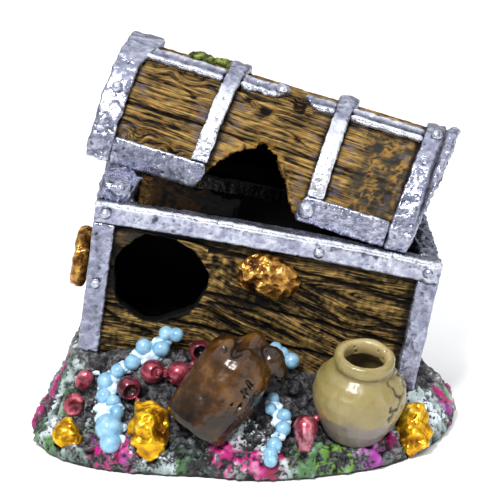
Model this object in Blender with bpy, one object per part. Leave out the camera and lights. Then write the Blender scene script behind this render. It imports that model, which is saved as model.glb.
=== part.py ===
"""Aquarium bubbling ornament: a sunken treasure chest that stands tilted in a rock base.

The lid is propped open and broken. Two jars, bead strings and gold lumps lie on the rock in front. Air
enters at the back of the rock, runs up a held hose, and leaves through an air stone in the chest.

Units are metres, +Z is up, +X is to the right and -Y is the front. The origin is the middle of the flat
underside. The chest and the lid are modelled upright in frames of their own, two empties that are tilted.
"""

import math

import bmesh
import bpy
from mathutils import Euler, Matrix, Vector, noise

MM = 0.001
GAP = 0.3 * MM                        # clearance between pieces that rest on or in each other

# Rock base
BASE_HALF_LENGTH = 67 * MM
BASE_HALF_DEPTH_FRONT = 47 * MM
BASE_HALF_DEPTH_BACK = 50 * MM
BASE_SQUARENESS = 2.25                # exponent of the outline's superellipse
# Lobes of the outline: direction and spread in degrees, and the share of the radius that is added
BASE_OUTLINE_BULGES = ((-154, 20, 0.085), (-118, 16, -0.035), (-90, 10, 0.01), (-52, 16, -0.02))
BASE_OUTLINE_WAVER = ((5, 0.010, 0.6), (9, 0.007, 2.1))   # waves round the outline, their share and phase
BASE_OUTLINE_SLACK = 0.018            # share by which the mean outline lies inside the superellipse
BASE_EDGE_FRONT = 5.5 * MM            # height of the steep edge at the front
BASE_EDGE_BACK = 16 * MM              # and at the back, where the air inlet is
BASE_COVER = 7 * MM                   # how far the rock climbs up the chest's front
BASE_COVER_LEFT = 0.5 * MM            # and at its raised left end
BASE_FOOT_HEIGHT = 2.5 * MM           # height of the upright rim round the flat underside
BASE_MOUND = Vector((57, 3, 0)) * MM  # extra rock beside the chest's low right end
BASE_MOUND_RADIUS = 7.5 * MM
BASE_MOUND_HEIGHT = 5 * MM
BASE_ROUGHNESS = 1.1 * MM             # depth of the rock's slow waves
BASE_WAVE_LENGTH = 17 * MM
BASE_RINGS = 15
BASE_SECTORS = 72

# Chest body, upright in its own frame: origin in the middle of its underside
CHEST_HALF_LENGTH = 53 * MM
CHEST_HALF_DEPTH = 28 * MM
CHEST_HEIGHT = 48.5 * MM
CHEST_TAPER = Vector((0.01, 0.04, 0))  # share of the length and depth lost between top and foot
CHEST_SKEW = Vector((1.5, 0, 0)) * MM  # and how far the foot is shifted along the chest
CHEST_TILT = math.radians(11)
CHEST_FOOT = Vector((-2.1, 13, 19.3)) * MM
CHEST_FRONT_ON_ROCK = 15 * MM         # how far the chest's front and back walls lie from the origin
CHEST_BACK_ON_ROCK = 41 * MM
RIM_HEIGHT = 6.2 * MM
RIM_WIDTH = 6.5 * MM
PANEL_SETBACK = 1.8 * MM              # panel faces lie this far behind the straps' faces
PANEL_THICKNESS = 4.5 * MM
POST_WIDTH = 6.4 * MM
FLOOR_THICKNESS = 3.5 * MM
SWIM_HOLE_CENTRE = Vector((-30.4, 0, 27)) * MM
SWIM_HOLE_RADIUS = 14.4 * MM

# Lid, upright in its own frame: a half-elliptic barrel whose open side is its z = 0 plane
LID_HALF_DEPTH = 27.5 * MM
LID_RISE = 34 * MM
LID_CENTRE = Vector((5.6, 23.2, 71.4)) * MM
LID_TURN = Euler((math.radians(-2.0), math.radians(14.3), math.radians(-11.3)), "YXZ")
LID_SHELL_HALF_LENGTH = 47.4 * MM
LID_SHELL_THICKNESS = 5.5 * MM
LID_END_THICKNESS = 4.9 * MM
STRAP_THICKNESS = 1.5 * MM
STRAP_WIDTH = 5 * MM
END_BAND_INNER = Vector((45.4, 43.3)) * MM   # where the left and right end bands start
END_BAND_OUTER = Vector((53, 50.3)) * MM     # and end, along the lid's lower edges
END_BAND_LEAN = Vector((0, 1.6)) * MM        # the right band leans outwards towards its top
END_BAND_LIP = 6.5 * MM
LOW_STRAP_TOP = math.radians(14)      # barrel angle where the low front straps end
SHOULDER_LOW = math.radians(68)
SHOULDER_HIGH = math.radians(79)
BARREL_STEPS = 24
# Outline of the torn hole in the front of the lid: length and height above the open side, in millimetres
TORN_EDGE = ((-16.5, -3), (-16.2, 4.5), (-12.5, 9.5), (-8.2, 14), (-4.5, 15.5), (-1, 18.5),
             (4.1, 15.9), (7, 11), (9.6, 9), (11.5, 4.5), (14.7, 0), (15, -3))

# Jars and gold on the slope
JUG_CENTRE = Vector((-6.5, -33.6, 26.2)) * MM
JUG_HALF_HEIGHT = 16.5 * MM
JUG_AXIS = Vector((0.588, 0.277, 0.76)).normalized()
# Lumps of the jug's broken neck and of the stump of its handle: x, y, z and radius in millimetres
JUG_LUMPS = ((-7.4, -30.6, 35.6, 3.6), (-6.5, -29.9, 37.4, 3.1), (1.6, -29.9, 37.2, 4.7),
             (7.0, -31.3, 32.8, 4.6), (9.7, -32.3, 30.2, 2.6))
POT_FOOT = Vector((32.4, -29.2, 8.4)) * MM
POT_AXIS = Vector((0.09, -0.2, 0.97)).normalized()
NUGGET_LEAN = 32                      # degrees by which the gold lumps lean back on the slope

# Air line
AIR_AXIS_X = 6 * MM                   # the air stone's place along the chest
INLET_HEIGHT = 8 * MM
INLET_FACE = 46 * MM                  # y of the flat boss that the grommet sits in
HOSE_OUTER = 2.8 * MM
HOSE_INNER = 2.0 * MM
GROMMET_RADIUS = 4.2 * MM
GROMMET_LENGTH = 6 * MM
STONE_RADIUS = 7 * MM
STONE_HEIGHT = 18 * MM
STONE_LIFT = 2.2 * MM                 # underside of the stone above the chest's floor

COLOURS = {                           # slot: (colour, roughness, metallic)
    "rock": ((0.06, 0.06, 0.065), 0.75, 0.0),
    "weathered_wood": ((0.26, 0.17, 0.07), 0.6, 0.0),
    "dark_wood": ((0.05, 0.035, 0.02), 0.7, 0.0),
    "silver_paint": ((0.62, 0.62, 0.68), 0.35, 0.6),
    "old_gold": ((0.55, 0.3, 0.07), 0.35, 0.6),
    "bright_gold": ((0.85, 0.5, 0.03), 0.3, 0.6),
    "brown_glaze": ((0.14, 0.06, 0.02), 0.25, 0.0),
    "clay_glaze": ((0.46, 0.36, 0.2), 0.3, 0.0),
    "blue_pearl": ((0.38, 0.6, 0.78), 0.25, 0.1),
    "red_pearl": ((0.42, 0.07, 0.1), 0.25, 0.3),
    "grey_pearl": ((0.2, 0.19, 0.2), 0.3, 0.1),
    "clear_plastic": ((0.75, 0.78, 0.78), 0.2, 0.0),
    "black_rubber": ((0.03, 0.03, 0.03), 0.7, 0.0),
    "air_stone": ((0.28, 0.38, 0.5), 0.9, 0.0),
}


# ---------------------------------------------------------------- general tools

def make_materials():
    """One Principled material for each slot of the colour table."""
    made = {}
    for slot, (colour, roughness, metallic) in COLOURS.items():
        material = bpy.data.materials.new(slot)
        material.use_nodes = True
        shader = material.node_tree.nodes["Principled BSDF"]
        shader.inputs["Base Color"].default_value = (*colour, 1)
        shader.inputs["Roughness"].default_value = roughness
        shader.inputs["Metallic"].default_value = metallic
        made[slot] = material
    return made


def add_solid(name, bm, slot, parent=None, cutter=False):
    """Turn a bmesh into an object with outward faces; a cutter is kept out of the build."""
    bmesh.ops.recalc_face_normals(bm, faces=bm.faces)
    mesh = bpy.data.meshes.new(name)
    bm.to_mesh(mesh)
    bm.free()
    mesh.shade_smooth()
    mesh.set_sharp_from_angle(angle=math.radians(35))
    if not cutter:
        mesh.materials.append(MATERIALS[slot])
    solid = bpy.data.objects.new(name, mesh)
    bpy.context.scene.collection.objects.link(solid)
    solid.parent = parent
    if cutter:
        solid.hide_render = True
        solid.display_type = "WIRE"
    return solid


def cut(target, *cutters, operation="DIFFERENCE"):
    """Take each cutter out of the target, or join it on, with a Boolean modifier."""
    for cutter in cutters:
        modifier = target.modifiers.new("with_" + cutter.name, "BOOLEAN")
        modifier.operation = operation
        modifier.object = cutter


def skin(rings, closed=False):
    """Bridge rings of equally many points; the two end rings are capped unless they meet."""
    bm = bmesh.new()
    rows = [[bm.verts.new(point) for point in ring] for ring in rings]
    following = rows[1:] + rows[:1] if closed else rows[1:]
    for low, high in zip(rows, following):
        for i in range(len(low)):
            j = (i + 1) % len(low)
            bm.faces.new((low[i], low[j], high[j], high[i]))
    if not closed:
        bm.faces.new(rows[0])
        bm.faces.new(rows[-1])
    return bm


def circle(radius, height, sides):
    """Points of a horizontal circle at a height."""
    turns = [2 * math.pi * i / sides for i in range(sides)]
    return [Vector((radius * math.cos(t), radius * math.sin(t), height)) for t in turns]


def turned(profile, sides=24):
    """Solid of revolution about Z; the profile runs from one flat end to the other."""
    return skin([circle(radius, height, sides) for radius, height in profile])


def turned_ring(section, sides=16):
    """Solid with a hole right through: a closed section carried round Z."""
    turns = [2 * math.pi * i / sides for i in range(sides)]
    rings = [[Vector((r * math.cos(t), r * math.sin(t), z)) for r, z in section] for t in turns]
    return skin(rings, closed=True)


def block(low, high):
    """Axis-aligned box from its lowest to its highest corner."""
    floor = [Vector((x, y, low[2])) for x, y in
             ((low[0], low[1]), (high[0], low[1]), (high[0], high[1]), (low[0], high[1]))]
    lift = Vector((0, 0, high[2] - low[2]))
    return skin([floor, [corner + lift for corner in floor]])


def smooth_route(points, per_span=6):
    """Points along the smooth curve that passes through the given points (Catmull-Rom)."""
    ends = [2 * points[0] - points[1]] + list(points) + [2 * points[-1] - points[-2]]
    route = []
    for before, start, end, after in zip(ends, ends[1:], ends[2:], ends[3:]):
        for i in range(per_span):
            t = i / per_span
            route.append(0.5 * (2 * start + (end - before) * t
                                + (2 * before - 5 * start + 4 * end - after) * t ** 2
                                + (3 * start - before - 3 * end + after) * t ** 3))
    route.append(points[-1].copy())
    return route


def frames_along(route):
    """A (point, side, up) triple at each point of a route, turning as little as possible."""
    side = (route[1] - route[0]).orthogonal().normalized()
    frames = []
    for i, point in enumerate(route):
        heading = (route[min(i + 1, len(route) - 1)] - route[max(i - 1, 0)]).normalized()
        side = (side - heading * side.dot(heading)).normalized()
        frames.append((point, side, heading.cross(side)))
    return frames


def swept(route, radii, sides=8):
    """Rod with a radius at each point of its route."""
    turns = [2 * math.pi * i / sides for i in range(sides)]
    return skin([[point + radius * (side * math.cos(t) + up * math.sin(t)) for t in turns]
                 for (point, side, up), radius in zip(frames_along(route), radii)])


def swept_pipe(route, outer, inner, sides=10):
    """Pipe along a route: the outer wall out, the inner wall back, and a flat ring at each end."""
    turns = [2 * math.pi * i / sides for i in range(sides)]
    frames = frames_along(route)
    walls = [(outer, frames), (inner, frames[::-1])]
    return skin([[point + radius * (side * math.cos(t) + up * math.sin(t)) for t in turns]
                 for radius, run in walls for point, side, up in run], closed=True)


def bead_string(route, bead_radius, neck_radius, sides=8):
    """Beads that touch along a route, joined by necks, as one closed body."""
    lengths = [0.0]
    for start, end in zip(route, route[1:]):
        lengths.append(lengths[-1] + (end - start).length)
    count = max(1, round(lengths[-1] / (2 * bead_radius)))
    pitch = lengths[-1] / count
    stations = []
    radii = []
    for bead in range(count):
        for share, radius in ((0.06, neck_radius), (0.26, 0.86 * bead_radius), (0.5, bead_radius),
                              (0.74, 0.86 * bead_radius)):
            stations.append((bead + share) * pitch)
            radii.append(radius)
    stations.append(lengths[-1])
    radii.append(neck_radius)
    points = []
    for station in stations:
        i = max(k for k in range(len(route) - 1) if lengths[k] <= station)
        share = (station - lengths[i]) / (lengths[i + 1] - lengths[i])
        points.append(route[i].lerp(route[i + 1], share))
    return swept(points, radii, sides)


def lump(size, seed, roughness=0.12, detail=2):
    """Irregular nugget: a sphere stretched to the size and pushed in and out by noise."""
    bm = bmesh.new()
    bmesh.ops.create_icosphere(bm, subdivisions=detail, radius=1.0)
    for vertex in bm.verts:
        shift = roughness * noise.noise(vertex.co * 1.7 + Vector((seed, 2 * seed, 3 * seed)))
        vertex.co = Vector(a * b for a, b in zip(vertex.co, size)) * (1 + 2 * shift)
    return bm


def moved(bm, matrix):
    """The same bmesh after a transformation of its points."""
    bmesh.ops.transform(bm, matrix=matrix, verts=bm.verts)
    return bm


def standing(place, axis, spin=0.0):
    """Matrix that stands a +Z shape at a place, along an axis, turned by spin about it."""
    upright = Vector((0, 0, 1)).rotation_difference(axis).to_matrix().to_4x4()
    return Matrix.Translation(place) @ upright @ Matrix.Rotation(spin, 4, "Z")


# ---------------------------------------------------------------- rock base

def outline_radius(angle):
    """Distance from the origin to the base's edge in a direction, with a rocky waver."""
    half_depth = BASE_HALF_DEPTH_FRONT if math.sin(angle) < 0 else BASE_HALF_DEPTH_BACK
    across = abs(math.cos(angle)) / BASE_HALF_LENGTH
    along = abs(math.sin(angle)) / half_depth
    angle = math.remainder(angle, 2 * math.pi)
    radius = (across ** BASE_SQUARENESS + along ** BASE_SQUARENESS) ** (-1 / BASE_SQUARENESS)
    waver = sum(share * math.sin(waves * angle + phase) for waves, share, phase in BASE_OUTLINE_WAVER)
    for degrees, width, share in BASE_OUTLINE_BULGES:
        waver += share * math.exp(-((math.degrees(angle) - degrees) / width) ** 2)
    return radius * (1 - BASE_OUTLINE_SLACK + waver)


def chest_wall_radius(angle):
    """Distance from the origin to the chest's plan rectangle in a direction."""
    wall_y = CHEST_BACK_ON_ROCK if math.sin(angle) > 0 else CHEST_FRONT_ON_ROCK
    sideways = CHEST_HALF_LENGTH / max(abs(math.cos(angle)), 1e-6)
    lengthways = wall_y / max(abs(math.sin(angle)), 1e-6)
    return min(sideways, lengthways)


def rock_height(x, y):
    """Height of the rock above the floor: an edge that climbs to the chest's buried foot."""
    angle = math.atan2(y, x)
    edge_radius = outline_radius(angle)
    wall_radius = min(chest_wall_radius(angle), 0.9 * edge_radius)
    climb = (edge_radius - math.hypot(x, y)) / (edge_radius - wall_radius)
    climb = min(1.0, max(0.0, climb))
    backness = min(1.0, max(0.0, y / (40 * MM))) * math.exp(-(x / (38 * MM)) ** 4)
    edge = BASE_EDGE_FRONT + backness * (BASE_EDGE_BACK - BASE_EDGE_FRONT)
    leftness = min(1.0, max(0.0, (-30 * MM - x) / (20 * MM)))
    cover = BASE_COVER + leftness * (BASE_COVER_LEFT - BASE_COVER)
    wall = CHEST_FOOT.z + cover - math.tan(CHEST_TILT) * (x - CHEST_FOOT.x)
    wall = max(wall, edge + 1.5 * MM)
    mound = math.exp(-((Vector((x, y, 0)) - BASE_MOUND).length / BASE_MOUND_RADIUS) ** 2)
    rough = noise.noise(Vector((x, y, 0)) / BASE_WAVE_LENGTH) * min(1.0, 3 * climb + 0.25)
    slope = (wall - edge) * climb ** (0.95 + 0.6 * leftness)
    return edge + slope + BASE_MOUND_HEIGHT * mound + BASE_ROUGHNESS * rough


def on_rock(x, y, lift=0.0):
    """Point a given lift above the rock; x, y and lift are in millimetres."""
    return Vector((x * MM, y * MM, rock_height(x * MM, y * MM) + lift * MM))


def make_rock_base():
    """Flat-bottomed mound: rings of the outline, each at the rock's height there."""
    rings = []
    angles = [2 * math.pi * i / BASE_SECTORS for i in range(BASE_SECTORS)]
    for share, height in ((0.985, 0.0), (1.0, BASE_FOOT_HEIGHT)):
        rings.append([Vector((share * outline_radius(a) * math.cos(a),
                              share * outline_radius(a) * math.sin(a), height)) for a in angles])
    for k in range(BASE_RINGS):
        share = 1 - 0.012 - 0.95 * k / (BASE_RINGS - 1)
        ring = []
        for a in angles:
            x = share * outline_radius(a) * math.cos(a)
            y = share * outline_radius(a) * math.sin(a)
            ring.append(Vector((x, y, rock_height(x, y))))
        rings.append(ring)
    return add_solid("rock_base", skin(rings), "rock")


# ---------------------------------------------------------------- chest

def tapered(bm):
    """Draw the chest's plan in, and skew it, towards its foot."""
    for vertex in bm.verts:
        depth = 1 - vertex.co.z / CHEST_HEIGHT
        vertex.co += depth * (CHEST_SKEW - CHEST_TAPER * vertex.co)
    return bm


def chest_box(name, slot, low, high):
    """One tapered plank or bar of the chest."""
    return add_solid(name, tapered(block(low, high)), slot, CHEST)


def make_chest_panels():
    """Four plank walls, a floor, and the round swim hole in the front wall."""
    wall_top = CHEST_HEIGHT - RIM_HEIGHT - GAP
    face_x = CHEST_HALF_LENGTH - PANEL_SETBACK
    face_y = CHEST_HALF_DEPTH - PANEL_SETBACK
    back_x = face_x - PANEL_THICKNESS
    back_y = face_y - PANEL_THICKNESS
    front = chest_box("chest_front_panel", "weathered_wood",
                      (-face_x, -face_y, 0), (face_x, -back_y, wall_top))
    chest_box("chest_back_panel", "weathered_wood", (-face_x, back_y, 0), (face_x, face_y, wall_top))
    for side, sign in (("left", -1), ("right", 1)):
        xs = sorted((sign * face_x, sign * back_x))
        chest_box(f"chest_{side}_end", "weathered_wood",
                  (xs[0], -back_y + GAP, 0), (xs[1], back_y - GAP, wall_top))
    floor = chest_box("chest_floor", "dark_wood",
                      (-back_x + GAP, -back_y + GAP, 0), (back_x - GAP, back_y - GAP, FLOOR_THICKNESS))
    rim = []
    for i in range(22):
        turn = 2 * math.pi * i / 22
        reach = SWIM_HOLE_RADIUS * (1 + 0.05 * math.sin(3 * turn + 1) + 0.03 * math.sin(7 * turn))
        rim.append(SWIM_HOLE_CENTRE + reach * Vector((math.cos(turn), 0, math.sin(turn))))
    near = Vector((0, -CHEST_HALF_DEPTH, 0))
    far = Vector((0, -CHEST_HALF_DEPTH / 2, 0))
    cut(front, add_solid("swim_hole_cutter", skin([[p + near for p in rim], [p + far for p in rim]]),
                         None, CHEST, cutter=True))
    return floor


def make_chest_straps():
    """Silver rim bars round the top and an angle strap down each corner."""
    low = CHEST_HEIGHT - RIM_HEIGHT
    inner_x = CHEST_HALF_LENGTH - RIM_WIDTH
    inner_y = CHEST_HALF_DEPTH - RIM_WIDTH
    for side, y in (("front", (-CHEST_HALF_DEPTH, -inner_y)), ("back", (inner_y, CHEST_HALF_DEPTH))):
        chest_box(f"chest_rim_{side}", "silver_paint",
                  (-CHEST_HALF_LENGTH, y[0], low), (CHEST_HALF_LENGTH, y[1], CHEST_HEIGHT))
    for side, x in (("left", (-CHEST_HALF_LENGTH, -inner_x)), ("right", (inner_x, CHEST_HALF_LENGTH))):
        chest_box(f"chest_rim_{side}", "silver_paint",
                  (x[0], -inner_y + GAP, low), (x[1], inner_y - GAP, CHEST_HEIGHT))
    thickness = PANEL_SETBACK - GAP
    for end, sx in (("left", -1), ("right", 1)):
        for side, sy in (("front", -1), ("back", 1)):
            plan = [(0, 0), (-POST_WIDTH, 0), (-POST_WIDTH, -thickness), (-thickness, -thickness),
                    (-thickness, -POST_WIDTH), (0, -POST_WIDTH)]
            foot = [Vector((sx * (CHEST_HALF_LENGTH + dx), sy * (CHEST_HALF_DEPTH + dy), 0))
                    for dx, dy in plan]
            head = [corner + Vector((0, 0, low - GAP)) for corner in foot]
            add_solid(f"corner_post_{side}_{end}", tapered(skin([foot, head])), "silver_paint", CHEST)


# ---------------------------------------------------------------- lid

def on_barrel(x, angle, depth):
    """Point of the lid at a length, a barrel angle (0 is the front edge) and a depth below its skin."""
    return Vector((x, -(LID_HALF_DEPTH - depth) * math.cos(angle), (LID_RISE - depth) * math.sin(angle)))


def barrel_rows(low_angle, high_angle, steps):
    """Equally spaced barrel angles."""
    return [low_angle + (high_angle - low_angle) * i / steps for i in range(steps + 1)]


def barrel_section(name, slot, section, angles):
    """Section in (length, depth) carried round the barrel over the given angles."""
    rings = [[on_barrel(x, angle, depth) for x, depth in section] for angle in angles]
    return add_solid(name, skin(rings), slot, LID)


def barrel_strap(name, rows, inner=STRAP_THICKNESS, outer=0.0, slot="silver_paint"):
    """Thin strap on the barrel: each row gives an angle and where the strap starts and ends."""
    rings = [[on_barrel(x0, angle, outer), on_barrel(x1, angle, outer),
              on_barrel(x1, angle, inner), on_barrel(x0, angle, inner)] for angle, x0, x1 in rows]
    return add_solid(name, skin(rings), slot, LID)


def make_lid_shell():
    """Barrel shell with the broken hole in the front, and a half-elliptic plate in each end."""
    outer = STRAP_THICKNESS + GAP
    inner = outer + LID_SHELL_THICKNESS
    length = LID_SHELL_HALF_LENGTH
    angles = barrel_rows(0, math.pi, BARREL_STEPS)
    shell = barrel_section("lid_shell", "weathered_wood",
                           [(-length, outer), (length, outer), (length, inner), (-length, inner)], angles)
    near = [Vector((x * MM, -40 * MM, z * MM)) for x, z in TORN_EDGE]
    far = [Vector((x * MM, -5 * MM, z * MM)) for x, z in TORN_EDGE]
    cut(shell, add_solid("torn_hole_cutter", skin([near, far]), None, LID, cutter=True))
    plate_depth = inner + GAP
    for side, sign in (("left", -1), ("right", 1)):
        plate = [[on_barrel(sign * x, angle, plate_depth) for angle in angles]
                 for x in (LID_SHELL_HALF_LENGTH - LID_END_THICKNESS, LID_SHELL_HALF_LENGTH)]
        add_solid(f"lid_{side}_end", skin(plate), "dark_wood", LID)


def make_lid_straps():
    """Silver end bands, cross straps, low straps and the torn shoulder strap."""
    lip = LID_SHELL_HALF_LENGTH + GAP
    for side, sign, inner, outer, lean in zip(("left", "right"), (-1, 1), END_BAND_INNER,
                                              END_BAND_OUTER, END_BAND_LEAN):
        rings = []
        for angle in barrel_rows(0, math.pi, BARREL_STEPS):
            inside = inner + lean * math.sin(angle)
            outside = outer + 2.4 * lean * math.sin(angle)
            section = [(inside, 0), (outside, 0), (outside, END_BAND_LIP), (lip, END_BAND_LIP),
                       (lip, STRAP_THICKNESS), (inside, STRAP_THICKNESS)]
            rings.append([on_barrel(sign * x, angle, depth) for x, depth in section])
        add_solid(f"lid_{side}_band", skin(rings), "silver_paint", LID)
    strap_angles = barrel_rows(LOW_STRAP_TOP + 0.01, math.pi - LOW_STRAP_TOP - 0.01, BARREL_STEPS - 4)
    half = STRAP_WIDTH / 2
    for side, foot, head in (("left", -18.4, -16.8), ("right", 19.1, 19.1)):
        rows = []
        for angle in strap_angles:
            middle = (foot + (head - foot) * math.sin(angle)) * MM
            rows.append((angle, middle - half, middle + half))
        barrel_strap(f"lid_{side}_cross_strap", rows)
    left_edge = -END_BAND_INNER[0] + GAP
    right_edge = END_BAND_INNER[1] - GAP
    low_rows = barrel_rows(0, LOW_STRAP_TOP, 3)
    left_ends = (-17.6, -15.8, -15.2, -16.4)
    barrel_strap("lid_low_strap_left",
                 [(a, left_edge, end * MM) for a, end in zip(low_rows, left_ends)])
    right_starts = (15.6, 14.8, 15.2, 16.8)
    barrel_strap("lid_low_strap_right",
                 [(a, start * MM, right_edge) for a, start in zip(low_rows, right_starts)])
    barrel_strap("lid_low_strap_back",
                 [(a, left_edge, right_edge) for a in barrel_rows(math.pi - LOW_STRAP_TOP, math.pi, 3)])
    shoulder_rows = barrel_rows(SHOULDER_LOW, SHOULDER_HIGH, 2)
    pieces = (("left", (-45.1, -45.1, -45.1), (-20.2, -20.2, -20.2)),
              ("middle", (-13.6, -13.6, -13.6), (-3.5, 0.2, 1.2)),
              ("torn", (9.5, 7.4, 6.2), (16.2, 16.2, 16.2)),
              ("right", (22.0, 22.0, 22.0), (44.4, 44.4, 44.4)))
    for part, starts, ends in pieces:
        barrel_strap(f"lid_shoulder_strap_{part}",
                     [(a, s * MM, e * MM) for a, s, e in zip(shoulder_rows, starts, ends)])


def make_lid_props():
    """The block, the wedge and the flaring back rest on the chest's rim that hold the lid."""
    open_side = add_solid("lid_underside_cutter",
                          block(Vector((-70, -45, -0.3)) * MM, Vector((70, 45, 60)) * MM),
                          None, LID, cutter=True)
    rim_top = CHEST_HEIGHT + GAP
    foot = [Vector((x, y, 0)) * MM for x, y in
            ((-52.6, -24), (-47, -25.5), (-42.5, -23), (-41.5, -14), (-46, -8), (-52, -10))]
    head = [corner + Vector((1.2, 0.5, 14)) * MM for corner in foot]
    prop = add_solid("lid_prop_block", moved(skin([foot, head]), Matrix.Translation((0, 0, rim_top))),
                     "silver_paint", CHEST)
    wedge_plan = ((-40.8, -23), (-12, -22.6), (-10, -14), (-40.8, -9))
    foot = [Vector((x * MM, y * MM, rim_top)) for x, y in wedge_plan]
    head = [corner + Vector((0, 1.5, 14)) * MM for corner in foot]
    wedge = add_solid("lid_wedge", skin([foot, head]), "dark_wood", CHEST)
    rest_foot = ((-46, 21.9), (45, 21.9), (45, 27.7), (20, 27.7), (-20, 27.7), (-46, 27.7))
    rest_head = ((-46, 21.9), (45, 21.9), (45, 31), (20, 41), (-20, 45), (-46, 47.5))
    rest = add_solid("lid_back_rest",
                     skin([[Vector((x * MM, y * MM, rim_top + height)) for x, y in plan]
                           for plan, height in ((rest_foot, 0), (rest_head, 7.5 * MM))]),
                     "dark_wood", CHEST)
    for piece in (prop, wedge, rest):
        cut(piece, open_side)


# ---------------------------------------------------------------- fittings of the chest

def make_rivet(name, place, axis, parent, radius=1.5 * MM):
    """Domed rivet head that stands on a strap."""
    profile = [(radius, 0), (0.95 * radius, 0.35 * radius), (0.72 * radius, 0.68 * radius),
               (0.35 * radius, 0.9 * radius)]
    add_solid(name, moved(turned(profile, 10), standing(place, axis)), "silver_paint", parent)


def make_rivets():
    """Rivets of the rim, the posts and the lid's straps."""
    front = Vector((0, -1, 0))
    face = -CHEST_HALF_DEPTH - GAP
    for name, x, z, radius in (
            ("rim_rivet_middle", 15.5, 45.4, 1.5),
            ("rim_rivet_right", 49.2, 45.4, 1.4),
            ("rim_rivet_left", -49.6, 45.5, 1.6),
            ("post_rivet_left", -49.0, 23, 1.4)):
        make_rivet(name, Vector((x * MM, face, z * MM)), front, CHEST, radius * MM)
    for name, x, degrees, radius in (
            ("lid_rivet_low", 17.8, 7, 2.6),
            ("lid_rivet_shoulder", -1.2, 74, 1.9),
            ("lid_rivet_right", 48.5, 74, 1.6),
            ("lid_rivet_left", -49.2, 40, 1.6)):
        angle = math.radians(degrees)
        skin_point = on_barrel(x * MM, angle, 0)
        outward = Vector((0, -math.cos(angle) / LID_HALF_DEPTH, math.sin(angle) / LID_RISE))
        outward.normalize()
        make_rivet(name, skin_point + outward * GAP, outward, LID, radius * MM)


def make_lock_emblem():
    """Lumpy gold lock plate with a nub at its right, flat against the front panel."""
    face = -CHEST_HALF_DEPTH + PANEL_SETBACK - 2 * GAP
    plate = lump(Vector((9.6, 4.2, 6.4)) * MM, seed=3.1, roughness=0.1, detail=3)
    place = Matrix.Translation((1.8 * MM, face, 35 * MM))
    moved(plate, place @ Matrix.Rotation(math.radians(6), 4, "Y"))
    lock = add_solid("lock_emblem", plate, "old_gold", CHEST)
    wall = block(Vector((-20, -26.4, 10)) * MM, Vector((25, -10, 45)) * MM)
    cut(lock, add_solid("lock_back_cutter", wall, None, CHEST, cutter=True))


def make_end_handle():
    """Gold ring on a boss at the chest's left end."""
    ring_centre = Vector((-55.2, -6, 22.5)) * MM
    ring_radius = 7.2 * MM
    wire = 1.75 * MM
    turns = [2 * math.pi * i / 24 for i in range(24)]
    section = [(ring_radius + corner.x, corner.y) for corner in circle(wire, 0, 8)]
    rings = [[ring_centre + Vector((z, r * math.cos(t), r * math.sin(t))) for r, z in section]
             for t in turns]
    add_solid("end_handle_ring", skin(rings, closed=True), "old_gold", CHEST)
    boss_foot = -CHEST_HALF_LENGTH + PANEL_SETBACK - GAP
    boss_height = boss_foot - (ring_centre.x + wire + GAP)
    boss = [(3.4 * MM, 0), (3.2 * MM, boss_height / 2), (2.2 * MM, boss_height)]
    place = Vector((boss_foot, ring_centre.y, ring_centre.z + ring_radius))
    add_solid("end_handle_boss", moved(turned(boss, 12), standing(place, Vector((-1, 0, 0)))),
              "old_gold", CHEST)


# ---------------------------------------------------------------- treasure on the rock

def seat(base, name, bm_maker, matrix, slot, clearance=1.0):
    """Stand a piece on the rock and sink a slightly larger copy of it into the base."""
    piece = add_solid(name, moved(bm_maker(0.0), matrix), slot)
    bed = add_solid(name + "_bed_cutter", moved(bm_maker(clearance * GAP), matrix), None, cutter=True)
    cut(base, bed)
    return piece


def jug_body(grow):
    """Stout jug, solid up to its closed shoulder; grow thickens it all over."""
    profile = [(9.2, 0), (10.4, 1.6), (11.0, 8), (11.3, 16), (11.1, 22), (10.2, 26), (8.4, 29),
               (5.0, 31)]
    profile = [(r * MM + grow, h * MM) for r, h in profile]
    profile[0] = (profile[0][0], -grow)
    profile[-1] = (profile[-1][0], profile[-1][1] + grow)
    return turned(profile, 22)


def pot_body(grow):
    """Round pot with a rolled lip; its hollow is left out of the bed's copy."""
    outside = [(8.0, 0), (9.4, 1.2), (12.0, 6.5), (13.6, 11.5), (14.1, 15.5), (13.4, 19), (11.0, 22.2),
               (8.4, 24.4), (8.9, 26), (9.2, 27.6), (8.4, 28.9), (7.4, 29.1)]
    inside = [(6.5, 28.6), (5.9, 26.8), (6.0, 25), (9.4, 21.5), (11, 16), (9.8, 11), (6.8, 8)]
    if grow:
        profile = [(r * MM + grow, h * MM) for r, h in outside]
        profile[0] = (profile[0][0], -grow)
    else:
        profile = [(r * MM, h * MM) for r, h in outside + inside]
    return turned(profile, 24)


def make_jars(base):
    """A dark jug with a broken neck that leans on the slope, and a tan pot that stands by it."""
    jug_foot = JUG_CENTRE - JUG_AXIS * JUG_HALF_HEIGHT
    jug = seat(base, "brown_jug", jug_body, standing(jug_foot, JUG_AXIS), "brown_glaze")
    turns = [math.pi * (k + 0.5) / 8 for k in range(8)]
    for number, (x, y, z, radius) in enumerate(JUG_LUMPS):
        ball = turned([(radius * MM * math.sin(t), -radius * MM * math.cos(t)) for t in turns], 12)
        moved(ball, Matrix.Translation(Vector((x, y, z)) * MM))
        cut(jug, add_solid(f"jug_lump_{number}", ball, None, cutter=True), operation="UNION")
    seat(base, "tan_pot", pot_body, standing(POT_FOOT, POT_AXIS), "clay_glaze")


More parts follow.
